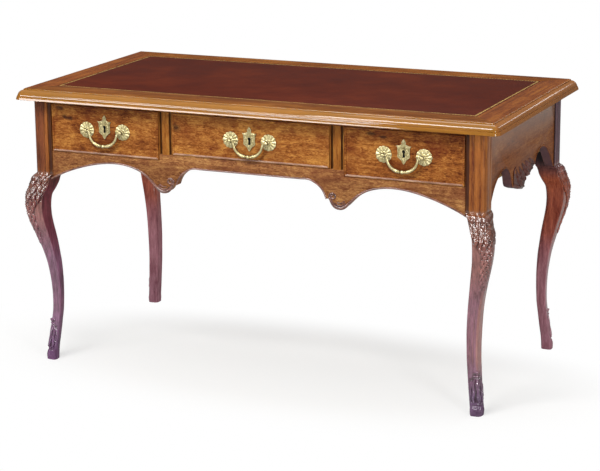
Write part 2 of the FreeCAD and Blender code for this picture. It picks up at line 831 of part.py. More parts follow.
def build_drawer(name, place):
    middle = (place["low"] + place["high"]) / 2
    low_x = place["low"] + drawer_gap
    high_x = place["high"] - drawer_gap
    floor = place["floor"]
    top = rail_under - drawer_gap
    inner_face = front_face + front_thickness
    handle_z = rail_under - place["handle"]
    prefix = "drawer_" + name + "_"

    front = box((low_x, front_face, floor + drawer_gap), (high_x, inner_face, top))
    bead = box((low_x, front_face - bead_height, floor + drawer_gap), (high_x, front_face, top))
    field = box((low_x + bead_width, front_face - bead_height, floor + drawer_gap + bead_width),
                (high_x - bead_width, front_face, top - bead_width))
    front = fused([front, bead.cut(field)])

    side_low = floor + running_gap
    side_high = kicker_under - kicker_gap
    back_low = floor + bottom_rise + bottom_thickness
    back_high = side_high - back_fall
    outer_faces = (low_x + drawer_side_inset, high_x - drawer_side_inset - side_thickness)
    bottom_low = floor + bottom_rise
    bottom_x = (outer_faces[0] + side_thickness - bottom_groove, outer_faces[1] + bottom_groove)
    bottom = box((bottom_x[0], inner_face - bottom_groove, bottom_low),
                 (bottom_x[1], drawer_end, bottom_low + bottom_thickness))
    sides = []
    for x in outer_faces:
        board = box((x, inner_face, side_low), (x + side_thickness, drawer_end - back_thickness, side_high))
        front_tails = tails(x, inner_face, inner_face - tail_length, side_low, side_high)
        back_tails = tails(x, drawer_end - back_thickness, drawer_end, back_low, back_high)
        sides.append(fused([board] + front_tails + back_tails).cut(bottom))
    back = box((outer_faces[0], drawer_end - back_thickness, back_low),
               (outer_faces[1] + side_thickness, drawer_end, back_high))
    for board in sides:
        front = front.cut(board)
        back = back.cut(board)
    front = front.cut(bottom)

    case = box((middle - lock_width / 2, inner_face - lock_depth, top - lock_height),
               (middle + lock_width / 2, inner_face, top))
    bolt_y = inner_face - lock_depth / 2
    bolt_top = top - bolt_play
    bolt = box((middle - bolt_width / 2, bolt_y - bolt_thickness / 2, bolt_top - bolt_length),
               (middle + bolt_width / 2, bolt_y + bolt_thickness / 2, bolt_top))
    channel = box((middle - bolt_width / 2 - bolt_play, bolt_y - bolt_thickness / 2 - bolt_play,
                   bolt_top - bolt_length - bolt_play),
                  (middle + bolt_width / 2 + bolt_play, bolt_y + bolt_thickness / 2 + bolt_play, top))
    front = front.cut(case).cut(keyhole(middle, front_face - bead_height, inner_face - lock_depth))
    case = case.cut(channel).cut(keyhole(middle, inner_face - lock_depth, inner_face - lock_depth / 2))

    posts, nuts, rosettes = [], [], []
    for side in (-1, 1):
        post_x = middle + side * post_spacing / 2
        rosettes.append(rosette(middle + side * rosette_spacing / 2, handle_z, post_x))
        posts.append(handle_post(post_x, handle_z))
        nuts.append(handle_nut(post_x, handle_z))
        hole = rod(shank_radius + shank_gap, (post_x, front_face, handle_z), (post_x, inner_face, handle_z))
        front = front.cut(hole)

    export(prefix + "front", front)
    export(prefix + "sides", group(sides))
    export(prefix + "back", back)
    export(prefix + "bottom", bottom)
    export(prefix + "escutcheon", escutcheon(middle))
    export(prefix + "lock_case", case)
    export(prefix + "lock_bolt", bolt)
    export(prefix + "handle_rosettes", group(rosettes))
    export(prefix + "handle_posts", group(posts))
    export(prefix + "handle_nuts", group(nuts))
    export(prefix + "bail", bail(middle, handle_z))
    mortise = box((middle - bolt_width / 2 - bolt_mortise_gap, bolt_y - bolt_thickness / 2 - bolt_mortise_gap,
                   rail_under),
                  (middle + bolt_width / 2 + bolt_mortise_gap, bolt_y + bolt_thickness / 2 + bolt_mortise_gap,
                   underside))
    return mortise


for name, place in drawers.items():
    front_top_rail = front_top_rail.cut(build_drawer(name, place))

for node, shape in borders.items():
    export(node, shape)
for node, shape in legs.items():
    export(node, shape)
for side, name in ((-1, "left"), (1, "right")):
    export("side_apron_" + name, side_aprons[side])
    export("stile_" + name, stiles[side])
    export("partition_" + name, partitions[side])
export("top_panel", top_panel)
export("writing_leather", writing_leather)
export("front_apron", front_apron)
export("back_apron", back_apron)
export("front_top_rail", front_top_rail)
export("drawer_runners", group(runners))
export("drawer_guides", group(guides))
export("drawer_kickers", group(kickers))
export("drawer_stops", group(stops))
export("top_glue_blocks", group(blocks))
export("top_screws", group(screws))
export("tenon_pegs", group(tenon_pegs))
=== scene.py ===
import math
from functools import partial

import bpy
import numpy as np
from mathutils import Matrix, Vector


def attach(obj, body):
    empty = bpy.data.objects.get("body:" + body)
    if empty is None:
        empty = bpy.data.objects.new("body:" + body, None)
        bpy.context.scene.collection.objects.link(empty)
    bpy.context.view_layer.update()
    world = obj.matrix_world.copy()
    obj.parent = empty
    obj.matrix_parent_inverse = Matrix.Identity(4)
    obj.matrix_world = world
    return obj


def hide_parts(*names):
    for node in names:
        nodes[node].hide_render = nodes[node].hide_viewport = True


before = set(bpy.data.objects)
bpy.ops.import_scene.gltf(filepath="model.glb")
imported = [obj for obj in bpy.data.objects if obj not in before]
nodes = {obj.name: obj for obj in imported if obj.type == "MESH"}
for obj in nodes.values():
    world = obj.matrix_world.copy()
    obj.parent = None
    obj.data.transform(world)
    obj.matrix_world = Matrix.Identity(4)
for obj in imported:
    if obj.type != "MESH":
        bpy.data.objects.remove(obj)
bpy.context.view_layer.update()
mm = 0.001
mirror = np.array([-1, 1])
print("frame loaded,", len(nodes), "nodes")


# small helpers for meshes

def deselectAll():
    if bpy.context.mode != "OBJECT":
        bpy.ops.object.mode_set(mode="OBJECT")
    bpy.ops.object.select_all(action="DESELECT")


def named(piece, name):
    piece.name = name
    piece.data.name = name
    return piece


def readPoints(piece):
    flat = np.empty(len(piece.data.vertices) * 3)
    piece.data.vertices.foreach_get("co", flat)
    return flat.reshape(-1, 3)


def writePoints(piece, points):
    piece.data.vertices.foreach_set("co", np.ascontiguousarray(points, float).ravel())
    piece.data.update()


def runLength(points):
    # distance along a line of points, from its start
    return np.concatenate([[0], np.cumsum(np.linalg.norm(np.diff(points, axis=0), axis=1))])


def heading(line):
    # the way a line runs at each of its points
    along = np.gradient(line, axis=0)
    return along / np.linalg.norm(along, axis=1)[:, None]


def bothSides(right):
    # a line from the middle outwards, with its mirror image before it
    return np.concatenate([right[:0:-1] * mirror, right])


def roundLine(middle, radius, angles):
    return np.stack([middle[0] + radius * np.cos(angles), middle[1] + radius * np.sin(angles)], axis=1)


def tidyShell(piece, smoothAngle):
    # merges seams, closes open ends and turns every face outwards
    bpy.context.view_layer.objects.active = piece
    bpy.ops.object.mode_set(mode="EDIT")
    bpy.ops.mesh.select_mode(type="VERT")
    bpy.ops.mesh.select_all(action="SELECT")
    bpy.ops.mesh.remove_doubles(threshold=2e-6)
    bpy.ops.mesh.dissolve_degenerate(threshold=1e-6)
    bpy.ops.mesh.select_all(action="DESELECT")
    bpy.ops.mesh.select_non_manifold()
    bpy.ops.mesh.fill_holes(sides=0)
    bpy.ops.mesh.select_all(action="SELECT")
    bpy.ops.mesh.normals_make_consistent(inside=False)
    bpy.ops.object.mode_set(mode="OBJECT")
    bpy.ops.object.shade_smooth_by_angle(angle=math.radians(smoothAngle))


def gridPiece(name, points, smoothAngle=40, relief=None):
    # a grid primitive whose points are set row by row, in mm; relief says how high each lies in the carving
    rows, cols = points.shape[:2]
    deselectAll()
    bpy.ops.mesh.primitive_grid_add(x_subdivisions=cols - 1, y_subdivisions=rows - 1, size=2)
    piece = named(bpy.context.active_object, name)
    flat = readPoints(piece)
    col = np.rint((flat[:, 0] + 1) / 2 * (cols - 1)).astype(int)
    row = np.rint((flat[:, 1] + 1) / 2 * (rows - 1)).astype(int)
    writePoints(piece, points[row, col] * mm)
    if relief is not None:
        piece.data.attributes.new("relief", "FLOAT", "POINT").data.foreach_set("value", relief[row, col])
    tidyShell(piece, smoothAngle)
    return piece


def tubePiece(name, path, radii, facing, sides=12, smoothAngle=60):
    # a round moulding along a line that lies in the plane facing that way
    path = np.asarray(path, float)
    facing = np.asarray(facing, float)
    across = np.cross(heading(path), facing)
    angles = np.linspace(0, 2 * math.pi, sides + 1)
    radii = np.broadcast_to(np.asarray(radii, float), len(path))
    ring = (np.cos(angles)[None, :, None] * across[:, None, :]
            + np.sin(angles)[None, :, None] * facing[None, None, :])
    return gridPiece(name, path[:, None, :] + radii[:, None, None] * ring, smoothAngle)


def turnedPiece(name, profile, middle, sides=40, smoothAngle=45):
    # turned on a lathe whose axis runs front to back: profile rows are depth y and radius
    profile = np.asarray(profile, float)
    angles = np.linspace(0, 2 * math.pi, sides + 1)
    points = np.empty((len(profile), sides + 1, 3))
    points[..., 0] = middle[0] + profile[:, 1, None] * np.cos(angles)
    points[..., 1] = profile[:, 0, None]
    points[..., 2] = middle[1] + profile[:, 1, None] * np.sin(angles)
    return gridPiece(name, points, smoothAngle)


def boardPiece(name, outline, axis, near, far, soften):
    # an outline drawn as one face, extruded to the board's thickness, its long edges softened
    outline = np.asarray(outline, float)
    deselectAll()
    bpy.ops.mesh.primitive_circle_add(vertices=len(outline), fill_type="NGON")
    piece = named(bpy.context.active_object, name)
    points = np.full((len(outline), 3), float(near))
    points[:, 1 - axis], points[:, 2] = outline[:, 0], outline[:, 1]
    writePoints(piece, points * mm)
    shift = [0.0, 0.0, 0.0]
    shift[axis] = (far - near) * mm
    bpy.ops.object.mode_set(mode="EDIT")
    bpy.ops.mesh.select_all(action="SELECT")
    bpy.ops.mesh.extrude_region_move(TRANSFORM_OT_translate={"value": shift})
    bpy.ops.mesh.select_all(action="SELECT")
    bpy.ops.mesh.normals_make_consistent(inside=False)
    bpy.ops.mesh.select_mode(type="EDGE")
    bpy.ops.mesh.select_all(action="DESELECT")
    bpy.ops.object.mode_set(mode="OBJECT")
    spots = readPoints(piece)[:, axis] / mm
    for edge in piece.data.edges:
        a, b = spots[edge.vertices[0]], spots[edge.vertices[1]]
        edge.select = abs(a - b) < 0.01
    bpy.ops.object.mode_set(mode="EDIT")
    bpy.ops.mesh.bevel(offset=soften * mm, segments=2, affect="EDGES", clamp_overlap=False)
    bpy.ops.object.mode_set(mode="OBJECT")
    bpy.ops.object.shade_smooth_by_angle(angle=math.radians(35))
    return piece


def joined(name, pieces):
    deselectAll()
    for piece in pieces:
        piece.select_set(True)
    bpy.context.view_layer.objects.active = pieces[0]
    if len(pieces) > 1:
        bpy.ops.object.join()
    return named(bpy.context.active_object, name)


def copied(piece, name, scale=(1, 1, 1), shift=(0, 0, 0)):
    # a copy with its own mesh, mirrored or moved in the mesh itself
    twin = piece.copy()
    twin.data = piece.data.copy()
    bpy.context.scene.collection.objects.link(twin)
    twin.data.transform(Matrix.Translation([s * mm for s in shift]) @ Matrix.Diagonal((*scale, 1)))
    if scale[0] * scale[1] * scale[2] < 0:
        twin.data.flip_normals()
    return named(twin, name)


def seat(piece, material, *stands, body="carcass", slot="walnut"):
    piece.data.materials.clear()
    piece.data.materials.append(material)
    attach(piece, body)
    if stands:
        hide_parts(*stands)
    return piece


def smoothLine(points, count):
    # natural cubic through the points, as a springy batten bends
    points = np.asarray(points, float)
    t = runLength(points)
    n, h = len(points), np.diff(t)
    system, right = np.eye(n), np.zeros_like(points)
    for i in range(1, n - 1):
        system[i, i - 1:i + 2] = h[i - 1], 2 * (h[i - 1] + h[i]), h[i]
        right[i] = 6 * ((points[i + 1] - points[i]) / h[i] - (points[i] - points[i - 1]) / h[i - 1])
    bend = np.linalg.solve(system, right)
    at = np.linspace(0, t[-1], count)
    k = np.clip(np.searchsorted(t, at, side="right") - 1, 0, n - 2)
    a, b = (t[k + 1] - at)[:, None], (at - t[k])[:, None]
    w = h[k][:, None]
    return ((bend[k] * a ** 3 + bend[k + 1] * b ** 3) / (6 * w)
            + (points[k] / w - bend[k] * w / 6) * a + (points[k + 1] / w - bend[k + 1] * w / 6) * b)


def arcLine(start, via, end, count):
    # the circle through three points
    (ax, ay), (bx, by), (cx, cy) = start, via, end
    d = 2 * (ax * (by - cy) + bx * (cy - ay) + cx * (ay - by))
    ux = ((ax ** 2 + ay ** 2) * (by - cy) + (bx ** 2 + by ** 2) * (cy - ay) + (cx ** 2 + cy ** 2) * (ay - by)) / d
    uy = ((ax ** 2 + ay ** 2) * (cx - bx) + (bx ** 2 + by ** 2) * (ax - cx) + (cx ** 2 + cy ** 2) * (bx - ax)) / d
    a0, a1, a2 = (math.atan2(y - uy, x - ux) for x, y in (start, via, end))
    turn = (a2 - a0) % (2 * math.pi)
    if (a1 - a0) % (2 * math.pi) > turn:
        turn -= 2 * math.pi
    at = a0 + np.linspace(0, turn, count)
    radius = math.hypot(ax - ux, ay - uy)
    return roundLine((ux, uy), radius, at)


def lobeRise(across, height, path, vein=0.0):
    # one carved lobe: rows of place, height, half width and rise along its spine
    rise = np.zeros_like(across)
    for (s0, z0, w0, h0), (s1, z1, w1, h1) in zip(path[:-1], path[1:]):
        run = (s1 - s0) ** 2 + (z1 - z0) ** 2
        t = np.clip(((across - s0) * (s1 - s0) + (height - z0) * (z1 - z0)) / run, 0, 1)
        off = np.hypot(across - s0 - t * (s1 - s0), height - z0 - t * (z1 - z0))
        width = w0 + t * (w1 - w0)
        lift = (h0 + t * (h1 - h0)) * np.sqrt(np.clip(1 - (off / width) ** 2, 0, 1))
        lift -= vein * swell(off, 0, 0.22 * width)
        rise = np.maximum(rise, lift)
    return rise


def smoothStep(low, high, value):
    t = np.clip((value - low) / (high - low), 0, 1)
    return t * t * (3 - 2 * t)


def within(value, start, end):
    # 1 between two soft edges and 0 outside them
    return smoothStep(*start, value) * (1 - smoothStep(*end, value))


def swell(value, middle, wide):
    # a soft ridge, 1 high along its middle
    return np.exp(-((value - middle) / wide) ** 2)


# materials

def hexColour(code):
    # sRGB hex to the linear colour that the shader takes
    parts = [int(code[i:i + 2], 16) / 255 for i in (1, 3, 5)]
    return tuple(p / 12.92 if p <= 0.04045 else ((p + 0.055) / 1.055) ** 2.4 for p in parts) + (1.0,)


def addNode(tree, kind, inputs=None, stops=(), **settings):
    # one shader node with its settings, its links and, for a ramp, its stops; a hex value is a colour
    node = tree.nodes.new("ShaderNode" + kind)
    for key, value in settings.items():
        setattr(node, key, value)
    for key, value in (inputs or {}).items():
        if isinstance(value, bpy.types.Node):
            value = next(way for way in value.outputs if way.enabled)
        if isinstance(value, bpy.types.NodeSocket):
            tree.links.new(value, node.inputs[key])
        else:
            node.inputs[key].default_value = hexColour(value) if isinstance(value, str) else value
    for i, (place, colour) in enumerate(stops):
        element = node.color_ramp.elements[i] if i < 2 else node.color_ramp.elements.new(place)
        element.position, element.color = place, hexColour(colour)
    return node


def startMaterial(name):
    # an empty material and the function that adds its nodes
    material = bpy.data.materials.new(name)
    material.use_nodes = True
    material.node_tree.nodes.clear()
    return material, partial(addNode, material.node_tree)


# Walnut, old and wax polished: a burry mottle of golden and dark flecks, broad clouds, faint streaks along the grain
# and small dark pores. Where it is carved it is darker in its cuts, a painted shade where shade falls. Oak and pine
# inside
# are planed and never polished: matt, pale brown, with plain straight grain.
# A wood has its dark, middle and light colours, the length and width in mm of its mottle, streaks, clouds and pores,
# how much the first three count, and its roughness, gloss and coat. Bands and tones lie under the pores and patches
# over them: dark and light colour, share, and where they begin and are full, by place in m, by facing or by drift, pore
# or relief. Polish is how the coat changes: where, from, to, and the weights there.
woodBasics = {"pores": 0.55, "bands": [], "tones": [], "patches": [], "polish": [], "knots": [], "bump": 0.25,
              "coatRoughness": 0.09, "coatIndex": 1.5}
burrFigure = {"grain": "x", "figure": ((12, 4.2), (110, 9), (75, 45), (20, 1.3)), "finish": (0.38, 0.08, 0.08)}
borderFigure = {"figure": ((34, 5), (230, 9), (120, 72), (30, 1.4)), "gains": (0.6, 0.8, 0.5),
                "finish": (0.34, 0.03, 1.0), "coatRoughness": 0.03}
edgeFigure = {"grain": "x", "figure": ((16, 5), (90, 6), (60, 36), (20, 1.4))}
plainFigure = {"figure": ((60, 6), (160, 5), (140, 84), (26, 2.0)), "gains": (0.5, 0.8, 0.4),
               "finish": (0.64, 0.3, 0.0), "pores": 0.3, "bump": 0.3}
carvedFigure = {"grain": "z", "figure": ((30, 5), (150, 7), (75, 45), (24, 1.4)), "gains": (0.6, 0.8, 0.5),
                "finish": (0.34, 0.15, 1.0), "pores": 0.3, "poreColour": "#3a1a14", "bump": 0.2, "coatIndex": 1.8,
                # the carving shines, the posts above it and the hooves less, and the faces under the desk hardly at all
                "polish": [("z", 0.545, 0.55, 1.0, 0.1), ("z", 0.03, 0.045, 0.25, 1.0),
                           ("outward", -0.3, 0.2, 0.08, 1.0)]}
# painted shade in the cuts of the carving, where the relief is low
shadeInCuts = ("#2a110e", "#2a110e", 0.7, ("relief", 0.5, 0.0))
backLegs, frontLegs = ("y", 0.2, 0.21), ("y", -0.2, -0.21)
leftLegs, rightLegs = ("x", -0.5, -0.51), ("x", 0.5, 0.51)
upperPosts = ("z", 0.5, 0.56)
# dark knots in the drawer fronts, as x, z, half width and half height in mm
frontKnots = [(-572, 729, 15, 8), (-557, 706, 12, 8), (-543, 703, 11, 7), (345, 726, 17, 6), (376, 720, 18, 4),
              (-217, 700, 15, 12)]
woodKinds = {
    # the drawers, with red clouds, and the middle one paler
    "burrWalnutFront": burrFigure | {
        "colours": ("#502009", "#965624", "#c98b42"), "gains": (1.3, 0.6, 0.6), "knots": frontKnots, "paler": 0.09,
        "drift": 52, "patches": [("#6c2d14", "#6c2d14", 0.55, ("drift", 0.5, 0.66))]},
    # the aprons, rubbed by knees and greyer
    "burrWalnutApron": burrFigure | {
        "colours": ("#532816", "#966038", "#c69256"), "gains": (1.3, 0.6, 0.4),
        "drift": 60, "patches": [("#703a24", "#703a24", 0.55, ("drift", 0.5, 0.66))]},
    # the ends, greyed towards the top with a painted sheen, and dark with painted shade on the board's edges, which
    # face neither end
    "burrWalnutSide": {
        "grain": "y", "colours": ("#54280f", "#8e5129", "#b47a48"), "figure": ((18, 6), (150, 12), (95, 57), (20, 1.4)),
        "gains": (0.6, 0.5, 0.35), "finish": (0.4, 0.06, 1.0), "polish": [("z", 0.65, 0.735, 0.03, 0.6)],
        # painted shade on the board's edges, then a pale grey painted sheen towards the top
        "patches": [("#54424e", "#54424e", 0.8, ("endFace", 0.5, 0.2)),
                    ("#b49a8a", "#b49a8a", 0.62, ("z", 0.65, 0.735))]},
    # the borders of the top, worn golden and glossy on their moulding
    "walnutBorderLong": borderFigure | {
        "grain": "x", "colours": ("#522708", "#7e4616", "#a4692d"), "polish": [("outY", 0.336, 0.34, 0.02, 0.85)],
        "patches": [("#b07a28", "#b07a28", 0.5, ("outY", 0.336, 0.34))]},
    "walnutBorderShort": borderFigure | {
        "grain": "y", "colours": ("#552812", "#82461f", "#a2642c"), "polish": [("outX", 0.673, 0.677, 0.02, 0.4)],
        "patches": [("#b4783a", "#b4783a", 0.5, ("outX", 0.673, 0.677))]},
    # the stiles, darkened in their sunk grooves: painted shade
    "walnutStile": {
        "grain": "z", "colours": ("#512809", "#985b22", "#bf853a"), "figure": ((26, 5), (110, 7), (70, 42), (24, 1.4)),
        "gains": (0.7, 0.7, 0.5), "finish": (0.36, 0.1, 0.1),
        "patches": [("#241008", "#241008", 0.8, ("y", -0.3254, -0.3236))]},
    # the bead under each drawer, paler than the other beads: painted light on its upper side, which catches the light
    # from above
    "litWalnutBead": edgeFigure | {
        "colours": ("#754c38", "#a27860", "#c49f86"), "gains": (0.9, 0.6, 0.9), "finish": (0.34, 0.3, 0.3)},
    # the rounded beads along the aprons' lower edges, glossy, dark with pale pinkish flecks: the paleness is a painted
    # highlight along the bead
    "polishedWalnutEdge": edgeFigure | {
        "colours": ("#3c1c14", "#7d4f40", "#ad8070"), "gains": (0.9, 0.6, 0.7), "finish": (0.3, 0.4, 1.0)},
    "planedOak": plainFigure | {"grain": "y", "colours": ("#6e4c2c", "#94703f", "#ad8a55")},
    "planedOakAcross": plainFigure | {"grain": "x", "colours": ("#6e4c2c", "#94703f", "#ad8a55")},
    "sawnPine": plainFigure | {"grain": "x", "colours": ("#8a6134", "#b08550", "#c8a06a")},
    # the legs: purplish feet, mauve shafts, dark red brown knees and golden brown posts; the purple and mauve are the
    # wood's colour with a painted sheen of the polish in them
    "carvedLegWalnut": carvedFigure | {"colours": ("#422a42", "#806284"), "bands": [
        ("#5a2a38", "#a66e80", 1.0, ("z", 0.05, 0.16)), ("#582420", "#ae6e66", 1.0, ("z", 0.3, 0.4)),
        ("#38150d", "#8c4e36", 1.0, ("z", 0.44, 0.49)), ("#62290e", "#bd7433", 1.0, ("z", 0.53, 0.55))], "tones": [
        ("#321010", "#80402f", 0.7, ("x", -0.612, -0.628), upperPosts),  # left posts, red heartwood
        ("#30140c", "#30140c", 0.72, ("outX", 0.613, 0.608), upperPosts),  # strip of each post by the drawers, sunk and darkened: painted shade
        ("#701f14", "#d06c44", 0.7, backLegs, ("z", 0.2, 0.36)),  # back knees, red where they turn down
        ("#90545e", "#d898a4", 0.72, backLegs, ("z", 0.34, 0.24)),  # back shafts, paler mauve
        ("#382029", "#7a5260", 1.0, backLegs, upperPosts),  # back posts, dull mauve
        ("#120c0c", "#120c0c", 0.9, backLegs, upperPosts, ("faceY", -0.6, -0.9)),  # and black on their faces inside the carcass: dust and painted shadow
        ("#4a2648", "#a0689c", 0.45, leftLegs, frontLegs, ("z", 0.44, 0.3)),  # front left shaft, more purple
        # painted shade on the inside of its knee, which faces right, and painted light on the outside of the front
        # right leg, which faces right too
        ("#40081c", "#842c48", 0.7, leftLegs, frontLegs, ("z", 0.28, 0.36), ("z", 0.54, 0.5), ("faceX", 0.5, 0.8)),
        ("#b06a58", "#d89a80", 0.45, rightLegs, frontLegs, ("z", 0.1, 0.14), ("z", 0.36, 0.3), ("faceX", 0.3, 0.6)),
        shadeInCuts]},
    "carvedLeafWalnut": carvedFigure | {"colours": ("#301410", "#7a3e32"), "tones": [shadeInCuts]},
}
# turns that lay the grain along the first axis of the pattern
grainTurns = {"x": (0, 0, 0), "y": (0, 0, math.pi / 2), "z": (0, math.pi / 2, 0)}
# detail, roughness and distortion of mottle, streaks, clouds and pores
figureNoise = [(7.0, 0.7, 1.2), (5.0, 0.6, 0.5), (3.0, 0.55, 0.7), (2.0, 0.5, 0.3)]


def woodFigure(add, kind, place):
    # the tone that a wood's colour follows, its streaks and its dark pores
    base = add("Mapping", {"Vector": place, "Rotation": grainTurns[kind["grain"]]})
    waves, tone = [], None
    for (length, width), (detail, roughness, distortion) in zip(kind["figure"], figureNoise):
        sized = add("Mapping", {"Vector": base, "Scale": (1000 / length, 1000 / width, 1000 / width)})
        waves.append(add("TexNoise", {"Vector": sized, "Scale": 1.0, "Detail": detail, "Roughness": roughness,
                                      "Distortion": distortion}))
    for wave, gain in zip(waves, kind["gains"]):
        lift = -0.5 * gain if tone else 0.5 - 0.5 * gain
        level = add("Math", {0: wave, 1: gain, 2: lift}, operation="MULTIPLY_ADD")
        tone = add("Math", {0: tone, 1: level}, operation="ADD") if tone else level
    if "paler" in kind:
        across = add("SeparateXYZ", {0: place}).outputs["X"]
        across = add("Math", {0: across}, operation="ABSOLUTE")
        share = add("MapRange", {"Value": across, "From Min": 0.235, "From Max": 0.228, "To Max": kind["paler"]})
        tone = add("Math", {0: tone, 1: share}, operation="ADD")
    pore = add("MapRange", {"Value": waves[3], "From Min": 0.57, "From Max": 0.7})
    return tone, waves[1], pore


def makeWood(name):
    kind = woodBasics | woodKinds[name]
    material, add = startMaterial(name)
    coordinates = add("TexCoord")
    place, facing = coordinates.outputs["Object"], coordinates.outputs["Normal"]
    tone, streak, pore = woodFigure(add, kind, place)
    where = {"pore": pore, "relief": add("Attribute", attribute_name="relief").outputs["Fac"]}
    spot, face = add("SeparateXYZ", {0: place}), add("SeparateXYZ", {0: facing})
    where["z"] = spot.outputs["Z"]
    for axis in "XY":
        where[axis.lower()], where["face" + axis] = spot.outputs[axis], face.outputs[axis]
        where["out" + axis] = add("Math", {0: spot.outputs[axis]}, operation="ABSOLUTE")
    where["endFace"] = add("Math", {0: where["faceX"]}, operation="ABSOLUTE")
    # from the middle of the desk to each corner, along the floor
    signs = add("VectorMath", {0: place}, operation="SIGN")
    corner = add("VectorMath", {0: signs, 1: (0.7, 0.7, 0.0)}, operation="MULTIPLY")
    where["outward"] = add("VectorMath", {0: corner, 1: facing}, operation="DOT_PRODUCT")
    if "drift" in kind:
        where["drift"] = add("TexNoise", {"Vector": place, "Scale": 1000 / kind["drift"], "Detail": 4.0,
                                          "Roughness": 0.6})
    dark, *middle, light = kind["colours"]
    stops = [(0.25, dark), (0.75, light)] + [(0.5, hue) for hue in middle]
    colour = add("ValToRGB", {"Fac": tone}, stops=stops)
    inPore = kind.get("poreColour", dark)
    over = kind["tones"] + [(inPore, inPore, kind["pores"], ("pore", 0, 1))] + kind["patches"]
    # bands follow a little more of the tone's range than what lies over them
    layers = [(0.25, *band) for band in kind["bands"]] + [(0.27, *layer) for layer in over]
    for stop, dark, light, share, *limits in layers:
        for axis, start, end in limits:
            inside = add("MapRange", {"Value": where[axis], "From Min": start, "From Max": end})
            share = add("Math", {0: inside, 1: share}, operation="MULTIPLY")
        shade = add("ValToRGB", {"Fac": tone}, stops=[(stop, dark), (1 - stop, light)])
        colour = add("Mix", {0: share, 6: colour, 7: shade}, data_type="RGBA")
    if kind["knots"]:
        ragged = add("TexNoise", {"Vector": place, "Scale": 90.0, "Detail": 3.0})
    for x, z, wide, high in kind["knots"]:
        shift = add("Mapping", {"Vector": place, "Location": (-x / wide, 0.0, -z / high),
                                "Scale": (1000 / wide, 0.0, 1000 / high)})
        reach = add("VectorMath", {0: shift}, operation="LENGTH")
        edge = add("Math", {0: ragged, 1: 1.4, 2: reach}, operation="MULTIPLY_ADD")
        mask = add("MapRange", {"Value": edge, "From Min": 1.75, "From Max": 1.05, "To Max": 0.8})
        colour = add("Mix", {0: mask, 6: colour, 7: "#2c1a14"}, data_type="RGBA")
    roughness, gloss, coat = kind["finish"]
    for axis, start, end, low, high in kind["polish"]:
        level = add("MapRange", {"Value": where[axis], "From Min": start, "From Max": end,
                                 "To Min": low, "To Max": high})
        coat = add("Math", {0: level, 1: coat}, operation="MULTIPLY")
    rough = add("MapRange", {"Value": streak, "To Min": roughness - 0.06, "To Max": roughness + 0.1})
    height = add("Math", {0: streak, 1: pore}, operation="SUBTRACT")
    bump = add("Bump", {"Strength": 0.35, "Distance": kind["bump"] * mm, "Height": height})
    shader = add("BsdfPrincipled", {
        "Base Color": colour, "Roughness": rough, "IOR": 1.5, "Specular IOR Level": gloss, "Normal": bump,
        "Coat Weight": coat, "Coat Roughness": kind["coatRoughness"], "Coat IOR": kind["coatIndex"]})
    add("OutputMaterial", {"Surface": shader})
    return material


# Tooled calf leather, dyed maroon and worn by writing arms: cloudy brown patches, fine pebbled grain, and a rolled
# gilt band of beads along the edge. Sizes in mm.
leatherLook = {"dark": "#4a1b10", "mid": "#552113", "worn": "#652b18", "gilt": "#c4a25e", "half": (609.6, 272.6),
               "bandIn": 6.0, "bandHalf": 2.52, "beadHalf": 1.12, "bandFade": 1.2, "bead": 8.0, "pebble": 2.2,
               "patch": 120}


def makeLeather():
    look = leatherLook
    material, add = startMaterial("tooledLeather")
    place = add("TexCoord").outputs["Object"]
    patch = add("TexNoise", {"Vector": place, "Scale": 1000 / look["patch"], "Detail": 5.0, "Roughness": 0.6})
    stops = [(0.3, look["dark"]), (0.78, look["worn"]), (0.52, look["mid"])]
    colour = add("ValToRGB", {"Fac": patch}, stops=stops)
    pebble = add("TexVoronoi", {"Vector": place, "Scale": 1000 / look["pebble"]})
    parts = add("SeparateXYZ", {0: place})
    fromEdge, beads = [], []
    for axis, half in zip("XY", look["half"]):
        size = add("Math", {0: parts.outputs[axis]}, operation="ABSOLUTE")
        fromEdge.append(add("Math", {0: half * mm, 1: size}, operation="SUBTRACT"))
        perMetre = 2 * math.pi / (look["bead"] * mm)
        turn = add("Math", {0: parts.outputs[axis], 1: perMetre}, operation="MULTIPLY")
        beads.append(add("Math", {0: turn}, operation="COSINE"))
    nearest = add("Math", {0: fromEdge[0], 1: fromEdge[1]}, operation="MINIMUM")
    onLong = add("Math", {0: fromEdge[1], 1: fromEdge[0]}, operation="LESS_THAN")
    bead = add("Mix", {0: onLong, 2: beads[1], 3: beads[0]})
    off = add("Math", {0: nearest, 1: look["bandIn"] * mm}, operation="SUBTRACT")
    off = add("Math", {0: off}, operation="ABSOLUTE")
    reach = add("Math", {0: bead, 1: look["beadHalf"] * mm, 2: look["bandHalf"] * mm}, operation="MULTIPLY_ADD")
    inside = add("Math", {0: reach, 1: off}, operation="SUBTRACT")
    band = add("MapRange", {"Value": inside, "From Min": 0.0, "From Max": look["bandFade"] * mm})
    rubbed = add("TexNoise", {"Vector": place, "Scale": 45.0, "Detail": 4.0})
    kept = add("MapRange", {"Value": rubbed, "From Min": 0.32, "From Max": 0.52, "To Min": 0.25})
    gilt = add("Math", {0: band, 1: kept}, operation="MULTIPLY")
    colour = add("Mix", {0: gilt, 6: colour, 7: look["gilt"]}, data_type="RGBA")
    gloss = add("MapRange", {"Value": patch, "To Min": 0.4, "To Max": 0.6})
    bump = add("Bump", {"Strength": 0.25, "Distance": 0.3 * mm, "Height": pebble})
    metal = add("Math", {0: gilt, 1: 0.35}, operation="MULTIPLY")
    shader = add("BsdfPrincipled", {"Base Color": colour, "Roughness": gloss, "Metallic": metal, "IOR": 1.45,
                                    "Specular IOR Level": 0.04, "Normal": bump})
    add("OutputMaterial", {"Surface": shader})
    return material


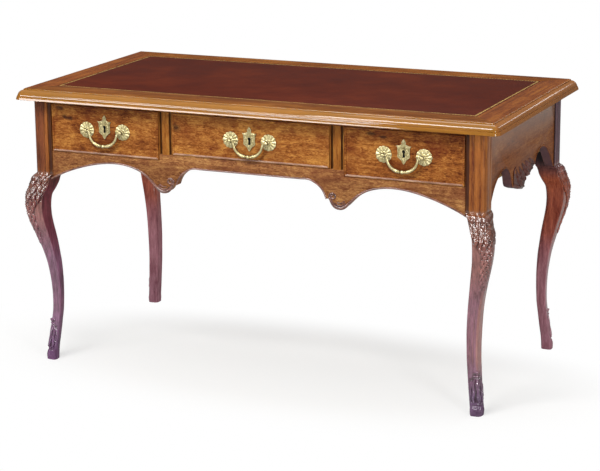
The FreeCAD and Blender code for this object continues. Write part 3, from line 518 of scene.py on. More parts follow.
# Gilt brass, cast, chased and burnished: pale yellow on the faces that look forwards, and brown on the flanks and in
# the
# sunk lines, which do not: painted shade.
brassLooks = {"castGiltBrass": {"bright": "#cec294", "dull": "#a29058", "sunk": "#4c3818", "patch": 6, "grit": 2.2},
              "dullGiltBrass": {"bright": "#cabd8c", "dull": "#86764a", "sunk": "#403014", "patch": 5, "grit": 1.6}}


def makeBrass(name):
    look = brassLooks[name]
    material, add = startMaterial(name)
    coordinates = add("TexCoord")
    place = coordinates.outputs["Object"]
    patch = add("TexNoise", {"Vector": place, "Scale": 1000 / look["patch"], "Detail": 4.0})
    colour = add("ValToRGB", {"Fac": patch}, stops=[(0.3, look["dull"]), (0.55, look["bright"])])
    facing = add("SeparateXYZ", {0: coordinates.outputs["Normal"]}).outputs["Y"]
    # painted shade: faces that do not look forwards take the dark colour
    flankShade = add("MapRange", {"Value": facing, "From Min": -0.75, "From Max": -0.25, "To Max": 0.85})
    colour = add("Mix", {0: flankShade, 6: colour, 7: look["sunk"]}, data_type="RGBA")
    grit = add("TexNoise", {"Vector": place, "Scale": 1000 / look["grit"], "Detail": 2.0})
    gloss = add("MapRange", {"Value": patch, "To Min": 0.5, "To Max": 0.34})
    bump = add("Bump", {"Strength": 0.4, "Distance": 0.25 * mm, "Height": grit})
    shader = add("BsdfPrincipled", {"Base Color": colour, "Metallic": 0.75, "Roughness": gloss, "Normal": bump})
    add("OutputMaterial", {"Surface": shader})
    return material


# Wrought iron, filed and darkened: near black with a faint brown bloom. Behind each keyhole a near black sheet stands
# in
# for the shade inside the lock: painted shade. Sizes in mm.
ironLooks = {"filedIron": {"dark": "#2b2826", "light": "#4a3a30", "bloom": 14, "detail": 5.0, "metal": 1.0,
                           "roughness": (0.4, 0.7), "gloss": 0.5, "bump": 0.2},
             "paintedShadeIron": {"dark": "#060505", "light": "#16110e", "bloom": 6, "detail": 3.0, "metal": 0.0,
                           "roughness": (0.8, 0.8), "gloss": 0.1, "bump": 0.0}}


def makeIron(name):
    look = ironLooks[name]
    material, add = startMaterial(name)
    place = add("TexCoord").outputs["Object"]
    bloom = add("TexNoise", {"Vector": place, "Scale": 1000 / look["bloom"], "Detail": look["detail"]})
    colour = add("ValToRGB", {"Fac": bloom}, stops=[(0.35, look["dark"]), (0.7, look["light"])])
    low, high = look["roughness"]
    rough = add("MapRange", {"Value": bloom, "To Min": low, "To Max": high})
    bump = add("Bump", {"Strength": 0.4, "Distance": look["bump"] * mm, "Height": bloom})
    shader = add("BsdfPrincipled", {"Base Color": colour, "Metallic": look["metal"], "Roughness": rough,
                                    "Specular IOR Level": look["gloss"], "Normal": bump})
    add("OutputMaterial", {"Surface": shader})
    return material


wood = {name: makeWood(name) for name in woodKinds}
brass, dullBrass = makeBrass("castGiltBrass"), makeBrass("dullGiltBrass")
leather, iron, shadeBlack = makeLeather(), makeIron("filedIron"), makeIron("paintedShadeIron")
print("materials made")

# the top: four moulded, mitred borders around the leather

topSizes = {"half": (698.0, 361.0), "height": 780.0, "thick": 30.0, "corner": 20.0, "inner": 88.0, "flatFrom": 24.0,
            # the moulding from the flat outwards, as distance in from the nosing and fall from the top
            "lip": ((24.0, 0.6), (22.4, 1.1), (21.0, 3.0)), "quirk": (21.4, 3.8),
            "ovolo": ((20.4, 4.4), (10.6, 8.8), (4.2, 19.6)), "fillet": (4.8, 20.6),
            "nosing": ((2.8, 21.0), (1.3, 25.0), (0.15, 29.0)), "under": [(0.0, 29.5), (0.5, 29.9), (1.2, 30.0)]}


def borderProfile():
    size = topSizes
    inner, flat, thick = size["inner"], size["flatFrom"], size["thick"]
    rows = [(inner, thick), (inner, 0.8), (inner - 0.25, 0.25), (inner - 0.8, 0), (flat + 6, 0), (flat + 0.8, 0)]
    rows += [*arcLine(*size["lip"], 8), size["quirk"], *arcLine(*size["ovolo"], 24), size["fillet"]]
    rows += [*arcLine(*size["nosing"], 10), *size["under"], (flat, thick), (inner, thick)]
    return np.array(rows)


def borderPiece(name, halfRun, reach, turn):
    size = topSizes
    profile = borderProfile()
    inward, fall = profile[:, 0], profile[:, 1]
    radius = np.maximum(size["corner"] - inward, 0)
    inner = np.minimum(size["corner"] - inward, 0)
    rows = []
    for side, angles in ((-1, np.linspace(math.pi / 4, 0, 13)), (1, np.linspace(0, math.pi / 4, 13))):
        for angle in angles:
            x = side * (halfRun - size["corner"] + inner + radius * math.sin(angle))
            y = -(reach - size["corner"] + inner + radius * math.cos(angle))
            rows.append(np.stack([x, y, size["height"] - fall], axis=1))
    x, y, z = np.moveaxis(np.array(rows), -1, 0)
    c, s = math.cos(turn), math.sin(turn)
    return gridPiece(name, np.stack([c * x - s * y, s * x + c * y, z], axis=-1), 25)


halfLong, halfDeep = topSizes["half"]
for place, run, reach, turn in (("front", halfLong, halfDeep, 0), ("right", halfDeep, halfLong, math.pi / 2),
                                ("back", halfLong, halfDeep, math.pi), ("left", halfDeep, halfLong, -math.pi / 2)):
    kind = "walnutBorderLong" if place in ("front", "back") else "walnutBorderShort"
    seat(borderPiece("topBorder" + place.capitalize(), run, reach, turn), wood[kind], "top_border_" + place)

leatherSizes = {"half": (609.4, 272.4), "low": 778.0, "high": 779.7, "edge": 0.7}
deselectAll()
bpy.ops.mesh.primitive_cube_add(size=2)
writingLeather = named(bpy.context.active_object, "writingLeather")
corners = readPoints(writingLeather)
corners[:, 0] *= leatherSizes["half"][0] * mm
corners[:, 1] *= leatherSizes["half"][1] * mm
corners[:, 2] = np.where(corners[:, 2] > 0, leatherSizes["high"], leatherSizes["low"]) * mm
writePoints(writingLeather, corners)
bpy.ops.object.mode_set(mode="EDIT")
bpy.ops.mesh.select_all(action="SELECT")
bpy.ops.mesh.bevel(offset=leatherSizes["edge"] * mm, segments=3, affect="EDGES")
bpy.ops.object.mode_set(mode="OBJECT")
bpy.ops.object.shade_smooth_by_angle(angle=math.radians(30))
seat(writingLeather, leather, "writing_leather", slot="leather")
print("top made")

# the legs: post, carved knee, plain shaft and leafed foot in one piece

legSizes = {
    "corner": (651.0, 327.0), "top": 750.0, "postFoot": 540.0, "leafTop": 547.0,
    # height, place of the middle along the outward diagonal, depth, width, rounding of nose, sides and heel
    "stations": [(0, -24, 34, 38, 12, 9, 10), (14, -24.2, 35.5, 40.5, 12, 9, 10), (25, -26, 33.5, 39, 11, 8, 9),
                 (50, -31, 30, 39.5, 10, 6, 8), (80, -36, 30, 40, 9.5, 4.5, 8), (115, -40.6, 31, 41, 9.5, 4, 8),
                 (150, -45, 31.2, 41.8, 9.5, 3.5, 8), (190, -46.2, 32.8, 43, 10, 3.5, 8),
                 (220, -45.4, 35, 44.5, 10, 3.5, 8.5), (250, -43, 37.8, 45.2, 10, 3.5, 9),
                 (283, -38.8, 41.6, 46.2, 10.5, 3.5, 9.5), (313, -32.5, 46, 48, 10.5, 3.5, 10),
                 (343, -25, 52, 50.7, 10.5, 3.5, 10), (370, -17.2, 57, 54, 10.5, 4, 11),
                 (398, -8.5, 62.5, 57.5, 10.5, 4, 12), (425, -2.3, 67, 61, 10.5, 4, 12),
                 (450, 0, 70.5, 63.5, 10.5, 4, 12), (475, -2, 73, 64, 10.5, 4, 12), (500, -13.9, 78.5, 65, 11, 4, 12),
                 (515, -20.8, 80.5, 67, 12, 3.5, 12), (527, -25.2, 80, 70, 13, 3, 8),
                 (536, -31.5, 76.5, 72.5, 14, 2, 4)],
    "post": (-36.77, 73.54, 73.54, 14, 1.5, 2),
}
# rows of overlapping leaf tips on the knee: height of roots, length, half width, rise, and distances from the nose line
kneeRows = [
    (532, 30, 8.0, 5.0, (9, 26, 42)), (512, 30, 8.0, 5.2, (0, 17.5, 34, 48)), (492, 28, 7.0, 4.6, (9, 24, 38)),
    (472, 24, 6.0, 3.6, (0, 15, 27)), (456, 22, 5.4, 3.2, (7.5, 20)), (442, 20, 5.2, 3.0, (0, 13)),
    (430, 20, 5.0, 2.9, (6.5, 18)), (418, 20, 4.8, 2.8, (0, 12)), (406, 19, 4.6, 2.6, (6, 16)),
    (394, 19, 4.4, 2.5, (0, 11)), (382, 18, 4.2, 2.4, (5.5, 14)), (371, 17, 4.0, 2.3, (0, 10)),
    (361, 16, 3.8, 2.4, (4.8, 12.5)), (351, 12, 3.4, 2.4, (0, 8.5)),
]
# place, half width and rise of the scallops over the leaf
kneeCrest = [(0, 8.5, 4.2), (16, 8.5, 4.5), (32, 8.5, 4.3), (47, 7.5, 3.6)]
# heights of the cuts with their soft edges; by height, how far from the nose line the knee is cut and how deeply; and
# grooves as distance and half width
carveSizes = {"shaft": ((118, 140), (350, 380)), "noseGroove": (9.5, 1.7), "sideGroove": (5.5, 1.3),
              "kneeFrom": 335, "kneeTop": (540, 544), "crest": (535, 528), "veinPitch": 5.2,
              "kneeReach": ([338, 346, 380, 440, 466, 480], [2, 13, 18, 27, 42, 90]),
              "kneeDepth": ([338, 344, 440, 480], [0, 0.75, 0.85, 1.0]),
              "teeth": ((385, 440), (518, 530)), "toothPitch": 7.0, "toothReach": 6,
              "footTo": 130, "foot": ((32, 38), (114, 121)), "collar": (97, 102), "collarFrom": (10, 14),
              "hoof": (24, 30), "neck": (29.0, 2.4), "flutePitch": 7.5, "fluteReach": 30}
# grooves of the posts, as distance from the side, half width and depth
postGrooves = {"front": [(21.0, 2.2, 1.9), (37.5, 2.6, 1.5)], "end": [(15.0, 1.6, 0.9), (38.0, 1.8, 1.0)]}
# strands and collars of the foot by distance from the nose line, height, half width and rise
footLobes = [
    [(-10, 115, 2.8, 3.0), (10, 115, 2.8, 3.0)],
    [(-9, 104, 2.6, 2.8), (9, 104, 2.6, 2.8)],
    [(0, 98, 3, 2.0), (2.5, 84, 4.5, 3.4), (-1.5, 66, 5, 4.0), (1.5, 49, 4.8, 4.6), (0, 38, 3, 4.0)],
    [(8, 97, 3, 2.0), (13, 80, 4.2, 3.4), (11.5, 62, 4.2, 3.8), (15, 47, 4, 4.4), (14, 38, 2.8, 3.8)],
    [(16, 90, 2.8, 1.6), (22, 72, 3.8, 3.0), (20.5, 56, 4, 3.4), (25, 43, 3.4, 3.8)],
]
footSpur = [(0, 109, 3.4, 2.4), (0, 116, 2.6, 6.5)]


def filletRing(depth, width, radii, counts):
    # a four-cornered section, nose outwards, with rounded corners
    noseRadius, sideRadius, heelRadius = radii
    halfDeep, halfWide = depth / 2, width / 2
    for _ in range(4):
        lean = math.atan2(halfWide, halfDeep)
        noseCut = noseRadius * (1 / math.sin(lean) - 1)
        heelCut = heelRadius * (1 / math.sin(lean) - 1)
        sideCut = sideRadius * (1 / math.cos(lean) - 1)
        halfDeep = depth / 2 + (noseCut + heelCut) / 2
        halfWide = width / 2 + sideCut
    shift = (noseCut - heelCut) / 2
    lean = math.atan2(halfWide, halfDeep)
    faceTurn = math.pi / 2 - lean
    noseMid = halfDeep + shift - noseRadius / math.sin(lean)
    heelMid = -halfDeep + shift + heelRadius / math.sin(lean)
    sideMid = halfWide - sideRadius / math.cos(lean)
    heelCount, innerCount, sideCount, outerCount, noseCount = counts

    heel = roundLine((heelMid, 0), heelRadius, np.linspace(-math.pi, -math.pi - faceTurn, heelCount))
    side = roundLine((shift, sideMid), sideRadius, np.linspace(math.pi - faceTurn, faceTurn, sideCount))
    nose = roundLine((noseMid, 0), noseRadius, np.linspace(faceTurn, 0, noseCount))

    def face(a, b, count):
        t = np.linspace(0, 1, count + 2)[1:-1, None]
        return a + (b - a) * t

    half = np.concatenate([heel, face(heel[-1], side[0], innerCount), side, face(side[-1], nose[0], outerCount), nose])
    other = half[-2::-1] * np.array([1, -1])
    return np.concatenate([half, other])


def shapedBetween(table, heights):
    # a smooth line through each column that never passes its own stations
    z = table[:, 0]
    step, rise = np.diff(z), np.diff(table[:, 1:], axis=0)
    slope = rise / step[:, None]
    bend = np.zeros_like(table[:, 1:])
    bend[0], bend[-1] = slope[0], slope[-1]
    for i in range(1, len(z) - 1):
        same = slope[i - 1] * slope[i] > 0
        mean = 2 * slope[i - 1] * slope[i] / np.where(same, slope[i - 1] + slope[i], 1)
        bend[i] = np.where(same, mean, 0)
    k = np.clip(np.searchsorted(z, heights, side="right") - 1, 0, len(z) - 2)
    t = ((heights - z[k]) / step[k])[:, None]
    w = step[k][:, None]
    return ((2 * t ** 3 - 3 * t ** 2 + 1) * table[k, 1:] + (t ** 3 - 2 * t ** 2 + t) * w * bend[k]
            + (-2 * t ** 3 + 3 * t ** 2) * table[k + 1, 1:] + (t ** 3 - t ** 2) * w * bend[k + 1])


def postMoulding(fromSide, onEnd):
    # by the drawer a sunk strip, a fillet and two grooves that leave flat reeds; on the ends two fine grooves
    faces = {"front": np.where(fromSide < 9.3, -2.2, 0.4), "end": np.full_like(fromSide, 0.2)}
    for face, grooves in postGrooves.items():
        for middle, wide, deep in grooves:
            faces[face] = faces[face] - deep * swell(fromSide, middle, wide)
    return np.where(onEnd, faces["end"], faces["front"])


def carvedRise(place, fromSide, height):
    # how far the surface stands out at each place, and how high it lies in the carving from 0 to 1, which darkens it as
    # painted shade where low
    size = carveSizes
    side = np.abs(place)
    level = np.full_like(side, height)
    shaft = within(height, *size["shaft"])
    rise = -0.9 * shaft * swell(side, *size["noseGroove"]) - 0.6 * shaft * swell(fromSide, *size["sideGroove"])
    # the relief darkens the wood where it is low: painted shade in the grooves of the shaft and the cuts of the carving
    relief = np.full_like(side, 0.6) + 0.35 * rise
    if height > size["kneeFrom"]:
        leaf = np.zeros_like(place)
        for root, long, wide, lift, spots in kneeRows:
            for spot in spots:
                path = [(spot * 0.97, root, wide * 0.45, lift * 0.3), (spot, root - long * 0.35, wide, lift * 0.7),
                        (spot, root - long * 0.7, wide * 0.85, lift), (spot, root - long, wide * 0.3, lift * 0.8)]
                leaf = np.maximum(leaf, lobeRise(side, level, path, lift * 0.22))
        for spot, wide, lift in kneeCrest:
            high, low = size["crest"]
            path = [(spot, high, wide, lift), (spot, low, wide * 0.9, lift)]
            leaf = np.maximum(leaf, lobeRise(side, level, path, 1.0))
        reach = np.interp(height, *size["kneeReach"])
        zone = smoothStep(reach + 3, reach - 3, side) * (1 - smoothStep(*size["kneeTop"], height))
        zone = zone * np.interp(height, *size["kneeDepth"])
        veins = np.sin(2 * math.pi * (side * 0.8 - height * 0.6) / size["veinPitch"]) * smoothStep(0.8, 2.2, leaf)
        teeth = within(height, *size["teeth"]) * np.cos(2 * math.pi * height / size["toothPitch"])
        leaf = leaf + zone * (0.2 * veins - 1.2 * (1 - smoothStep(0.2, 1.6, leaf)))
        rise = rise + leaf + teeth * swell(side, 0, size["toothReach"])
        relief = relief * (1 - zone) + zone * np.clip(0.18 + leaf / 4.4, 0, 1)
    if height < size["footTo"]:
        leaf = np.zeros_like(place)
        for path in footLobes:
            leaf = np.maximum(leaf, lobeRise(side, level, path, 1.0 if path[0][2] > 2.7 else 0.0))
        leaf = np.maximum(leaf, lobeRise(side, level, footSpur))
        zone = within(height, *size["foot"])
        zone = zone * (1 - smoothStep(*size["collar"], height) * smoothStep(*size["collarFrom"], side))
        hoof = 1 - smoothStep(*size["hoof"], height)
        flute = np.cos(2 * math.pi * side / size["flutePitch"]) ** 2 * (side < size["fluteReach"]) * hoof
        neck = swell(height, *size["neck"])
        leaf = leaf - zone * 1.2 * (1 - smoothStep(0.2, 1.6, leaf))
        rise = rise + leaf - 0.9 * flute - 1.8 * neck
        # the flutes and the neck of the hoof get painted shade too
        relief = relief * (1 - zone) + zone * np.clip(0.34 + leaf / 4.2, 0, 1) - 0.12 * flute - 0.35 * neck
    return rise, relief


def makeLeg(name):
    sizes = legSizes
    counts = (5, 8, 6, 44, 9)
    levels = np.concatenate([np.arange(0, 128, 1.2), np.arange(128, 336, 5.2), np.arange(336, 540, 1.05),
                             [540, 540.6, 541.5, 543, 544.5, 546, 548, 552, 600, 650, 700, sizes["top"]]])
    table = np.array(sizes["stations"] + [(sizes["postFoot"], *sizes["post"])], float)
    shapes = shapedBetween(table, np.minimum(levels, sizes["postFoot"]))
    rows, shades = [], []
    for height, (middle, depth, width, nose, sideRound, heel) in zip(levels, shapes):
        ring = filletRing(depth, width, (nose, sideRound, heel), counts)
        along = runLength(ring)
        place = along - along[len(ring) // 2]
        tangent = np.gradient(ring, axis=0)
        tangent[0] = tangent[-1] = ring[1] - ring[-2]
        normal = np.stack([tangent[:, 1], -tangent[:, 0]], axis=1)
        normal /= np.linalg.norm(normal, axis=1)[:, None]
        normal *= np.sign((normal * ring).sum(axis=1))[:, None]
        fromSide = abs(place[counts[0] + counts[1] + counts[2] - 1]) - np.abs(place)
        rise, relief = carvedRise(place, fromSide, min(height, sizes["leafTop"] - 0.5))
        if height >= sizes["postFoot"]:
            flat = postMoulding(fromSide, ring[:, 1] > 0)
            leafed = (rise > 0.05) & (height < sizes["leafTop"])
            rise = np.where(leafed, np.maximum(rise, flat), flat)
            # the sunk strip and the grooves of the post get a low relief, which darkens them: painted shade
            relief = np.where(leafed, relief, 0.6 + 0.22 * np.minimum(flat, 0))
        ring = ring + normal * np.where(fromSide >= 0, rise, 0)[:, None]
        out = middle + ring[:, 0]
        x = sizes["corner"][0] + (out + ring[:, 1]) / math.sqrt(2)
        y = sizes["corner"][1] + (out - ring[:, 1]) / math.sqrt(2)
        rows.append(np.stack([x, y, np.full_like(x, height)], axis=1))
        shades.append(np.where(fromSide >= 0, relief, 0.6))
    return gridPiece(name, np.array(rows), 50, np.array(shades))


legBackRight = makeLeg("legBackRight")
legs = {"back_right": legBackRight, "front_right": copied(legBackRight, "legFrontRight", (1, -1, 1)),
        "back_left": copied(legBackRight, "legBackLeft", (-1, 1, 1)),
        "front_left": copied(legBackRight, "legFrontLeft", (-1, -1, 1))}
for place, piece in legs.items():
    seat(piece, wood["carvedLegWalnut"], "leg_" + place, slot="leg_walnut")
print("legs made,", len(legBackRight.data.polygons), "faces each")

# the aprons: shaped boards with a beaded lower edge, scrolled pendants in front and leaf pendants at the ends

longApronSizes = {
    "front": -326.0, "thick": 24.0, "end": 616.0, "step": 269.0, "highTop": 624.0, "lowTop": 607.0, "backTop": 750.0,
    "beadRadius": 2.4, "beadProud": 0.4, "soften": 1.2, "flat": (148.0, 590.0),
    "arch": [(148, 590), (170, 589.6), (185, 583.5), (198, 574.8), (206.5, 565.5), (212.5, 555), (217, 543)],
    "tip": [(227, 545), (233.5, 533), (241, 524.8), (251, 520.4), (259, 519.6), (267, 521.6), (279, 529.5)],
    "sweep": [(279, 529.5), (298, 548.5), (324, 567.5), (344, 576), (404, 585), (492, 572), (599, 531), (616, 522)],
    "volute": (237.0, 551.0, 10.0), "tipThick": ([0, 10, 20, 26, 42], [3.6, 5.4, 5.0, 3.4, 2.4]),
}


def centreArch():
    # right half of the arch between the pendants, from the middle outwards
    run, height = longApronSizes["flat"]
    flat = np.stack([np.linspace(0, run, 16)[:-1], np.full(15, height)], axis=1)
    return np.concatenate([flat, smoothLine(longApronSizes["arch"], 30)])


def longApronOutline(highTop, lowTop):
    size = longApronSizes
    right = np.concatenate([centreArch(), smoothLine(size["tip"], 22), smoothLine(size["sweep"], 70)[1:]])
    end, step = size["end"], size["step"]
    top = [(end, lowTop), (step, lowTop), (step, highTop), (-step, highTop), (-step, lowTop), (-end, lowTop)]
    if highTop == lowTop:
        top = [(end, highTop), (-end, highTop)]
    return np.concatenate([bothSides(right), top])


def lifted(line, distance):
    # the line moved inwards, up from the lower edge
    x, z = heading(line).T
    return line + distance * np.stack([-z, x], axis=1)


def inPlane(line, depth):
    return np.stack([line[:, 0], np.full(len(line), depth), line[:, 1]], axis=1)


def spiral(middle, radius, startTurn, turns, count, shrink):
    t = np.linspace(0, 1, count)
    at = startTurn + turns * 2 * math.pi * t
    reach = radius * (1 - shrink * t)
    return roundLine(middle, reach, at)


def apronBeads(name, depth, facing):
    # beads along the arches; the side arch's bead rounds the pendant and curls into a volute
    size = longApronSizes
    r = size["beadRadius"]
    half = lifted(centreArch(), r * 0.8)
    pieces = [tubePiece(name + "Arch", inPlane(bothSides(half), depth), r, facing)]
    tip = smoothLine(size["tip"], 26)
    run = lifted(np.concatenate([tip, smoothLine(size["sweep"], 60)[1:]]), r)
    x, z, radius = size["volute"]
    curl = spiral((x, z), radius, math.radians(213), -1.35, 44, 0.66)[::-1]
    line = np.concatenate([curl, run[1:]])
    thick = np.concatenate([np.linspace(1.8, 3.4, len(curl)), np.interp(np.arange(len(run) - 1), *size["tipThick"])])
    for side in (1, -1):
        pieces.append(tubePiece(name + "Scroll", inPlane(line * np.array([side, 1]), depth), thick, facing))
        for away, first in ((9.0, 6), (15.0, 9)):
            rib = lifted(tip, away)[first:] * np.array([side, 1])
            pieces.append(tubePiece(name + "Rib", inPlane(rib, depth), np.linspace(0.8, 2.2, len(rib)), facing))
    return pieces


size = longApronSizes
near, proud, thick, backTop = size["front"], size["beadProud"], size["thick"], size["backTop"]
for place, front, back, tops, bead, facing in (
        ("front", near, near + thick, (size["highTop"], size["lowTop"]), near - proud, (0, -1, 0)),
        ("back", -near - thick, -near, (backTop, backTop), -near + proud, (0, 1, 0))):
    board = boardPiece(place + "Apron", longApronOutline(*tops), 1, front, back, size["soften"])
    seat(board, wood["burrWalnutApron"], place + "_apron")
    beads = joined(place + "ApronBeads", apronBeads(place + "Bead", bead, facing))
    seat(beads, wood["polishedWalnutEdge"])

# the lower edge runs from front to back: an arch, a leaf that is plain in front and lobed behind, and an arch
sideApronSizes = {
    "face": 650.0, "thick": 25.0, "end": 292.0, "top": 750.0, "beadRadius": 2.2, "soften": 1.2,
    "frontArch": [(-292, 536), (-275, 556), (-250, 588), (-222, 609), (-195, 621), (-165, 624.5), (-136, 617.5),
                  (-116, 602), (-104.5, 584), (-98.5, 568), (-90, 560.5)],
    "leafTip": [(-90, 560.5), (-58, 550), (-22, 541.8), (-2, 540.5), (9, 547), (17, 558), (23, 567)],
    "leafLobe": [(23, 567), (36, 564.8), (49, 566.2), (64, 571.5), (80, 579), (96, 585)],
    "backArch": [(96, 585), (106, 597), (120, 610), (140, 617.5), (163, 620), (190, 616), (214, 603), (236, 584),
                 (258, 561), (276, 543), (292, 530)],
    # the carved leaf: its span, the height where it ends in the board, where it goes under, and the line of its roots
    "leafSpan": (-89, 95), "leafTop": 619, "leafUnder": 611,
    "leafRoots": ([-89, -60, 0, 60, 95], [570, 582, 590, 592, 588]),
}
pendantLeaf = [  # the fingers of the carved leaf and its stem, as place, height, half width and rise
    [(-62, 600, 3, 1.5), (-48, 580, 10, 3.2), (-28, 562, 11, 4.4), (-9, 549, 6, 5.0), (-3, 545, 3, 4.4)],
    [(-40, 604, 3, 1.2), (-22, 586, 9.5, 3.2), (-3, 571, 10.5, 4.4), (11, 563, 5, 4.6), (16, 560, 3, 3.8)],
    [(-15, 608, 3, 1.2), (5, 593, 9.5, 3.0), (25, 579, 10, 4.2), (40, 571, 5, 4.4), (46, 568, 3, 3.6)],
    [(10, 611, 3, 1.2), (30, 599, 9, 2.8), (52, 587, 9, 3.8), (70, 580, 4.5, 4.0), (77, 578, 2.6, 3.2)],
    [(38, 613, 3, 1.0), (56, 605, 6, 2.4), (78, 595, 6, 3.2), (93, 588, 3.5, 3.2)],
    [(-84, 565, 4, 2.0), (-91, 582, 5, 2.6), (-84, 601, 5, 2.4), (-66, 614, 3, 1.6)],
    [(-84, 563, 4, 2.2), (-58, 555, 4.5, 3.0), (-30, 547, 4, 3.0)],
]


def sideLowerEdge():
    size = sideApronSizes
    counts = {"frontArch": 50, "leafTip": 26, "leafLobe": 18, "backArch": 46}
    runs = [smoothLine(size[part], count) for part, count in counts.items()]
    return np.concatenate([runs[0]] + [run[1:] for run in runs[1:]])


def makeSideApron(name):
    size = sideApronSizes
    outline = np.concatenate([sideLowerEdge(), [(size["end"], size["top"]), (-size["end"], size["top"])]])
    parts = [boardPiece(name, outline, 0, size["face"] - size["thick"], size["face"], size["soften"])]
    for part in ("frontArch", "backArch"):
        line = lifted(smoothLine(size[part], 50), size["beadRadius"] * 0.8)
        path = np.stack([np.full(len(line), size["face"] - 0.4), line[:, 0], line[:, 1]], axis=1)
        parts.append(tubePiece(name + "Bead", path, size["beadRadius"], (1, 0, 0)))
    across = np.linspace(*size["leafSpan"], 150)
    edge = np.concatenate([smoothLine(size["leafTip"], 200), smoothLine(size["leafLobe"], 200)[1:]])
    foot = np.interp(across, edge[:, 0], edge[:, 1]) - 0.6
    share = np.linspace(0, 1, 66)[:, None]
    height = foot + share * (size["leafTop"] - foot)
    across = np.broadcast_to(across, height.shape)
    leaf = np.zeros_like(height)
    for path in pendantLeaf:
        leaf = np.maximum(leaf, lobeRise(across, height, path, 1.2))
    roots = np.interp(across, *size["leafRoots"])
    ripple = 0.9 * np.sin(2 * math.pi * (0.5 * across + height) / 9.5) * smoothStep(0.6, 2.0, leaf)
    # painted shade: the leaf is darker where it lies low between its lobes
    relief = np.clip(0.28 + (leaf + ripple) / 5.0, 0, 1)
    face = size["face"]
    front = np.where(leaf > 0.02, face + leaf, face - 0.3)
    front = np.where(height < roots, face + 0.4 + leaf + ripple, front)
    front = np.where(height > size["leafUnder"], face - 2.0, front)
    carving = np.stack([front, across, height], axis=-1)
    back = np.stack([np.full_like(front, face - 6.0), across, height], axis=-1)
    shades = np.concatenate([relief[:1], relief, relief[-1:]], axis=0)
    leafPiece = gridPiece(name + "Leaf", np.concatenate([back[:1], carving, back[-1:]], axis=0), 60, shades)
    return joined(name, parts), leafPiece


sideApronRight, leafRight = makeSideApron("sideApronRight")
sideApronLeft = copied(sideApronRight, "sideApronLeft", (-1, 1, 1))
leafLeft = copied(leafRight, "sideApronLeftLeaf", (-1, 1, 1))
seat(sideApronRight, wood["burrWalnutSide"], "side_apron_right")
seat(sideApronLeft, wood["burrWalnutSide"], "side_apron_left")
for leaf in (leafRight, leafLeft):
    seat(leaf, wood["carvedLeafWalnut"])
print("aprons made")

# the stiles between the drawers: a flat reed between two sunk grooves

stileSizes = {"middle": 249.0, "half": 20.0, "front": -326.0, "back": -302.0, "low": 623.5, "high": 740.0,
              "groove": (3.0, 9.0), "deep": 5.0}


def makeStile(name):
    size = stileSizes
    half, front = size["half"], size["front"]
    near, far = size["groove"]
    reed, edge, sunk = half - far, half - near, front + size["deep"]
    right = [(0, front - 0.5), (reed * 0.6, front - 0.3), (reed * 0.9, front + 0.3), (reed, front + 1.4),
             (reed + 0.8, sunk), (edge - 0.8, sunk), (edge, front + 1.0), (edge + 0.6, front), (half, front + 0.4)]
    section = np.concatenate([bothSides(np.array(right)), [(half, size["back"]), (-half, size["back"])]])
    rows = np.array([np.column_stack([section[:, 0] + size["middle"], section[:, 1], np.full(len(section), z)])
                     for z in (size["low"], size["high"])])
    return gridPiece(name, np.concatenate([rows, rows[:, :1]], axis=1), 30)


stileRight = makeStile("stileRight")
stileLeft = copied(stileRight, "stileLeft", (-1, 1, 1))
seat(stileRight, wood["walnutStile"], "stile_right")
seat(stileLeft, wood["walnutStile"], "stile_left")

# the drawers' looks: an edge bead over each front, and the gilt handles and lock plates

drawerSpots = {  # left, right, bottom and top of each front, and the handle's height
    "left": (-597.5, -270.5, 608.5, 738.5, 675.0),
    "centre": (-227.5, 227.5, 625.5, 738.5, 680.0),
    "right": (270.5, 597.5, 608.5, 738.5, 675.0),
}
beadSizes = {"face": -326.0, "proud": 2.6, "width": 5.4, "over": 0.15, "root": -319.0}


def makeEdgeBead(name, corners):
    # a half-round bead mitred at the corners, given as x, z and the way inwards
    size = beadSizes
    at = np.linspace(0, math.pi, 10)
    bow = np.column_stack([size["width"] / 2 - (size["width"] / 2 + size["over"]) * np.cos(at),
                           size["face"] - 0.4 - (size["proud"] - 0.4) * np.sin(at)])
    start = [(-size["over"], size["root"])]
    inward, depth = np.concatenate([start, bow, [(size["width"], size["root"])], start]).T
    rows = [np.column_stack([x + dx * inward, depth, z + dz * inward]) for x, z, dx, dz in corners]
    return gridPiece(name, np.array(rows), 40)


rosetteSizes = {"offset": 55.0, "radius": 22.5, "face": -326.0, "petals": 12}


def makeRosette(name, x, z):
    # a chased flower: scalloped rim, ribbed petals, an inner ring and a boss for the post
    size = rosetteSizes
    angles = np.linspace(0, 2 * math.pi, 145)
    share = np.concatenate([np.linspace(0, 0.94, 26), [0.97, 0.99, 1.0]])
    wave = np.abs(np.cos(size["petals"] / 2 * angles))
    rim = size["radius"] * (0.93 + 0.07 * wave ** 0.6)
    radius = share[:, None] * rim[None, :]
    petal = smoothStep(0.34, 0.55, share)[:, None]
    high = 1.5 + 1.6 * (1 - share[:, None] ** 2) + 1.3 * petal * (wave[None, :] ** 0.8 - 0.45)
    high += 0.7 * (swell(share, 0.33, 0.05) - swell(share, 0.43, 0.045))[:, None]
    high += 0.5 * (1 - petal) * np.cos(8 * angles)[None, :] * smoothStep(0.1, 0.25, share)[:, None]
    high[-3:] *= np.array([0.92, 0.7, 0.35])[:, None]
    y = size["face"] - np.clip(high, 0.4, 5.0)
    front = np.stack([x + radius * np.cos(angles), y, z + radius * np.sin(angles)], axis=-1)
    edge, middle = front[-1:].copy(), front[:1].copy()
    edge[..., 1], middle[..., 1] = size["face"] + 0.1, size["face"] + 0.1
    return gridPiece(name, np.concatenate([front, edge, middle]), 50)


postSizes = {"offset": 53.0, "pivot": -338.0, "ball": 6.0, "shank": 2.9, "shankEnd": -298.0, "face": -326.0,
             # depth and radius of the collar and neck under the ball
             "collar": [(-327, 5.6), (-330.4, 5.4), (-331.2, 4.6), (-331.6, 3.4), (-332.4, 3.2)]}


